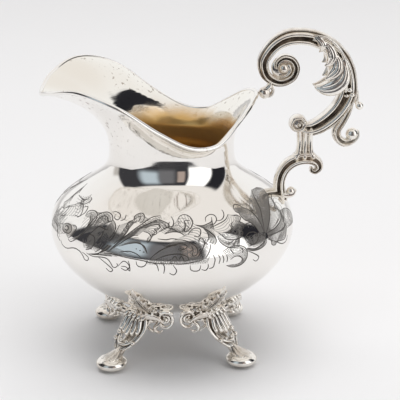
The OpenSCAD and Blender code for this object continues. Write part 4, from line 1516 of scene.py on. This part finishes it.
def rungs(first, second, count, share=0.8):
    """Short cuts from first towards second, alternately long and short."""
    a, b = fit(first, count), fit(second, count)
    return [
        np.stack([a[k], a[k] + (b[k] - a[k]) * share * (1.0, 0.6, 0.8)[k % 3]])
        for k in range(count)
    ]


def dot(turn, along, size):
    return [(turn - size, along), (turn, along + 0.1), (turn + size, along)]


# Pairs of lines with fine lines laid between them, and how many
FOLLOW = (
    ("rose_1", "rose_3", 5), ("rose_4", "rose_5", 3), ("rose_7", "rose_8", 5),
    ("rose_9", "rose_4", 3), ("ribbon_1", "ribbon_2", 2), ("leaf_1", "leaf_4", 6),
    ("leaf_4", "leaf_5", 7), ("leaf_7", "leaf_6", 6), ("leaf_6", "leaf_8", 7),
    ("leaf_8", "leaf_9", 8), ("fan_1", "fan_3", 7), ("sprig_1", "sprig_3", 5),
    ("sprig_3", "sprig_6", 4), ("sprig_6", "sprig_7", 4), ("sprig_2", "sprig_10", 6),
    ("curl_5", "curl_6", 6), ("curl_7", "curl_9", 7), ("curl_9", "curl_11", 4),
    ("petal_1", "petal_2", 3), ("petal_2", "petal_3", 14), ("petal_3", "petal_5", 16),
    ("petal_5", "petal_4", 18), ("petal_4", "petal_6", 9), ("petal_6", "petal_7", 9),
    ("middle_1", "middle_2", 5), ("middle_1", "middle_3", 6), ("middle_3", "middle_7", 5),
    ("middle_5", "middle_6", 3), ("sprig_4", "sprig_5", 3), ("ribbon_2", "leaf_1", 4),
    ("curl_1", "middle_5", 4), ("curl_2", "middle_3", 5),
    ("curl_3", "curl_5", 6), ("curl_10", "curl_12", 4), ("petal_1", "petal_5", 6),
    ("rose_2", "rose_8", 5), ("left_1", "rose_2", 4), ("middle_7", "curl_5", 5),
    ("petal_7", "right_2", 6), ("petal_6", "right_3", 6),
    ("petal_7", "petal_8", 9), ("petal_10", "petal_11", 3), ("shell_1", "shell_2", 6),
)
# Pairs with short cuts from the first towards the second: how many, and how far
SHADE = (
    ("rose_3", "rose_7", 16, 0.6), ("rose_6", "rose_4", 12, 0.5), ("ribbon_2", "ribbon_1", 26, 0.9),
    ("leaf_1", "leaf_4", 44, 0.6), ("leaf_4", "leaf_5", 40, 0.9), ("leaf_5", "leaf_6", 30, 0.9),
    ("leaf_7", "leaf_6", 26, 0.9), ("sprig_4", "sprig_1", 24, 0.6), ("sprig_1", "sprig_3", 20, 0.5),
    ("sprig_7", "sprig_6", 16, 0.5), ("sprig_10", "sprig_2", 26, 0.7),
    ("curl_1", "curl_2", 18, 0.5), ("curl_9", "curl_7", 40, 0.45), ("curl_5", "curl_6", 16, 0.8),
    ("petal_2", "petal_3", 34, 0.9), ("petal_5", "petal_4", 40, 0.8), ("petal_4", "petal_5", 40, 0.7),
    ("petal_6", "petal_7", 26, 0.8), ("petal_8", "petal_7", 26, 0.7), ("petal_11", "petal_10", 20, 0.9),
    ("middle_2", "middle_1", 30, 0.8), ("middle_5", "curl_1", 22, 0.6), ("curl_3", "curl_5", 30, 0.5),
    ("sprig_3", "sprig_6", 30, 0.6), ("curl_11", "curl_9", 34, 0.5), ("fan_1", "band_2", 24, 0.5),
    ("sprig_2", "sprig_1", 30, 0.7), ("leaf_9", "sprig_4", 22, 0.7), ("middle_3", "middle_1", 26, 0.6),
    ("middle_7", "middle_8", 16, 0.8), ("right_2", "petal_7", 24, 0.5), ("left_1", "left_2", 12, 0.5),
    ("shell_1", "shell_2", 34, 0.5), ("loop_6", "loop_4", 30, 0.7),
)
# The dark ground along the lower edge: turn from, turn to, up from, up to, cuts
GROUNDS = (
    (-104, -78, 0.6, 3.2, 70), (-97, -80, 2.6, 4.4, 30), (-137, -128, 3.0, 6.5, 22),
    (-57, -46, 4.4, 8.2, 34), (-54, -47, 3.6, 8.0, 26), (-172, -158, 3.0, 12.0, 26),
    (-40, -26, 16.0, 24.0, 30))


def ground(turn_from, turn_to, low, high, count):
    """A patch of crossed cuts with a ragged edge."""
    cuts = []
    for k in range(count):
        turn = turn_from + (turn_to - turn_from) * k / (count - 1)
        ragged = 0.35 * math.sin(2.4 * k) * (high - low) / 2
        lean = 1.6 if k % 2 else -1.2
        cuts.append(np.array([(turn, low + 0.1 * ragged), (turn + lean, high + ragged)]))
    return cuts


outline_cuts = [np.array(line) for line in LINES.values()]
outline_cuts += [
    np.array(dot(*place)) for place in ((-109.5, 6.6, 0.25), (-107.7, 6.1, 0.32), (-106, 5.6, 0.4))]
shade_cuts = []
for first, second, count in FOLLOW:
    shade_cuts += beside(LINES[first], LINES[second], count)
for first, second, count, share in SHADE:
    shade_cuts += rungs(LINES[first], LINES[second], count, share)
for patch in GROUNDS:
    shade_cuts += ground(*patch)
print("bold cuts:", len(outline_cuts), "fine cuts:", len(shade_cuts))

# %% [markdown]
# ## Laying the cuts on the skin
#
# The place of a cut is given along the skin, so it must be laid on the bowl's own outline: the
# outline is measured once, and each place is looked up on it. A cut is a flat thread of four sides,
# let into the metal, whose breadth swells and tapers like the real stroke.

# %% The cuts on the bowl
skin_z = np.linspace(44.0, 90.0, 1841)
skin_r = np.array([
    BELLY_R * (1 - ((BELLY_Z - z) / BOWL_DEPTH) ** 1.9) ** 0.75 if z < BELLY_Z else shoulder(z)
    for z in skin_z
])
skin_s = np.concatenate([[0.0], np.cumsum(np.hypot(np.diff(skin_z), np.diff(skin_r)))])
skin_s -= np.interp(BELLY_Z, skin_z, skin_s)
THREAD_SUNK = 0.06


def on_skin(turn, along):
    """Places on the skin, and the directions away from it and up along it."""
    z, r = np.interp(along, skin_s, skin_z), np.interp(along, skin_s, skin_r)
    slope = (np.interp(along + 0.2, skin_s, skin_r) - np.interp(along - 0.2, skin_s, skin_r)) / 0.4
    rise = np.sqrt(np.maximum(0.0, 1 - slope ** 2))
    c, s = np.cos(turn), np.sin(turn)
    return (
        np.stack([r * c, r * s, z], 1), np.stack([rise * c, rise * s, -slope], 1))


def thread(bm, line, half_width, spacing, proud, flip):
    """One cut as a closed strip of boxes along its line."""
    places = np.array(smooth(line.tolist(), 6)) if 2 < len(line) < 20 else np.array(line)
    steps = np.hypot(np.diff(places[:, 0]) * 0.92, np.diff(places[:, 1]))
    reach = np.concatenate([[0.0], np.cumsum(steps)])
    count = max(4, int(reach[-1] / spacing) + 1)
    at = np.linspace(0, reach[-1], count)
    turn = flip * np.radians(np.interp(at, reach, places[:, 0]))
    centre, normal = on_skin(turn, np.interp(at, reach, places[:, 1]))
    sideways = np.cross(normal, np.gradient(centre, axis=0))
    sideways /= np.linalg.norm(sideways, axis=1)[:, None]
    taper = 0.3 + 0.7 * np.sin(np.pi * np.linspace(0.04, 0.9, count)) ** 0.7
    wide = sideways * (half_width * taper)[:, None]
    corners = (
        centre - wide - normal * THREAD_SUNK, centre - wide * 0.85 + normal * proud,
        centre + wide * 0.85 + normal * proud, centre + wide - normal * THREAD_SUNK)
    rings = [[bm.verts.new(corner[k]) for corner in corners] for k in range(count)]
    bm.faces.new(rings[0])
    bm.faces.new(rings[-1][::-1])
    for ring, following in zip(rings, rings[1:]):
        for k in range(4):
            bm.faces.new((ring[k], ring[k - 1], following[k - 1], following[k]))


def cut(name, lines, half_width, spacing, proud, material):
    """Threads of this half width that stand proud of the skin by a hair, front and back."""
    bm = bmesh.new()
    for line in lines:
        for flip in (1, -1):
            thread(bm, line, half_width, spacing, proud, flip)
    return finish_piece(name, bm, [], "body_silver", material, recess_rounds=1)


bold = cut("engraved_lines", outline_cuts, 0.24, 0.5, 0.04, OUTLINE_CUT)
fine = cut("engraved_shading", shade_cuts, 0.11, 0.8, 0.025, SHADE_CUT)
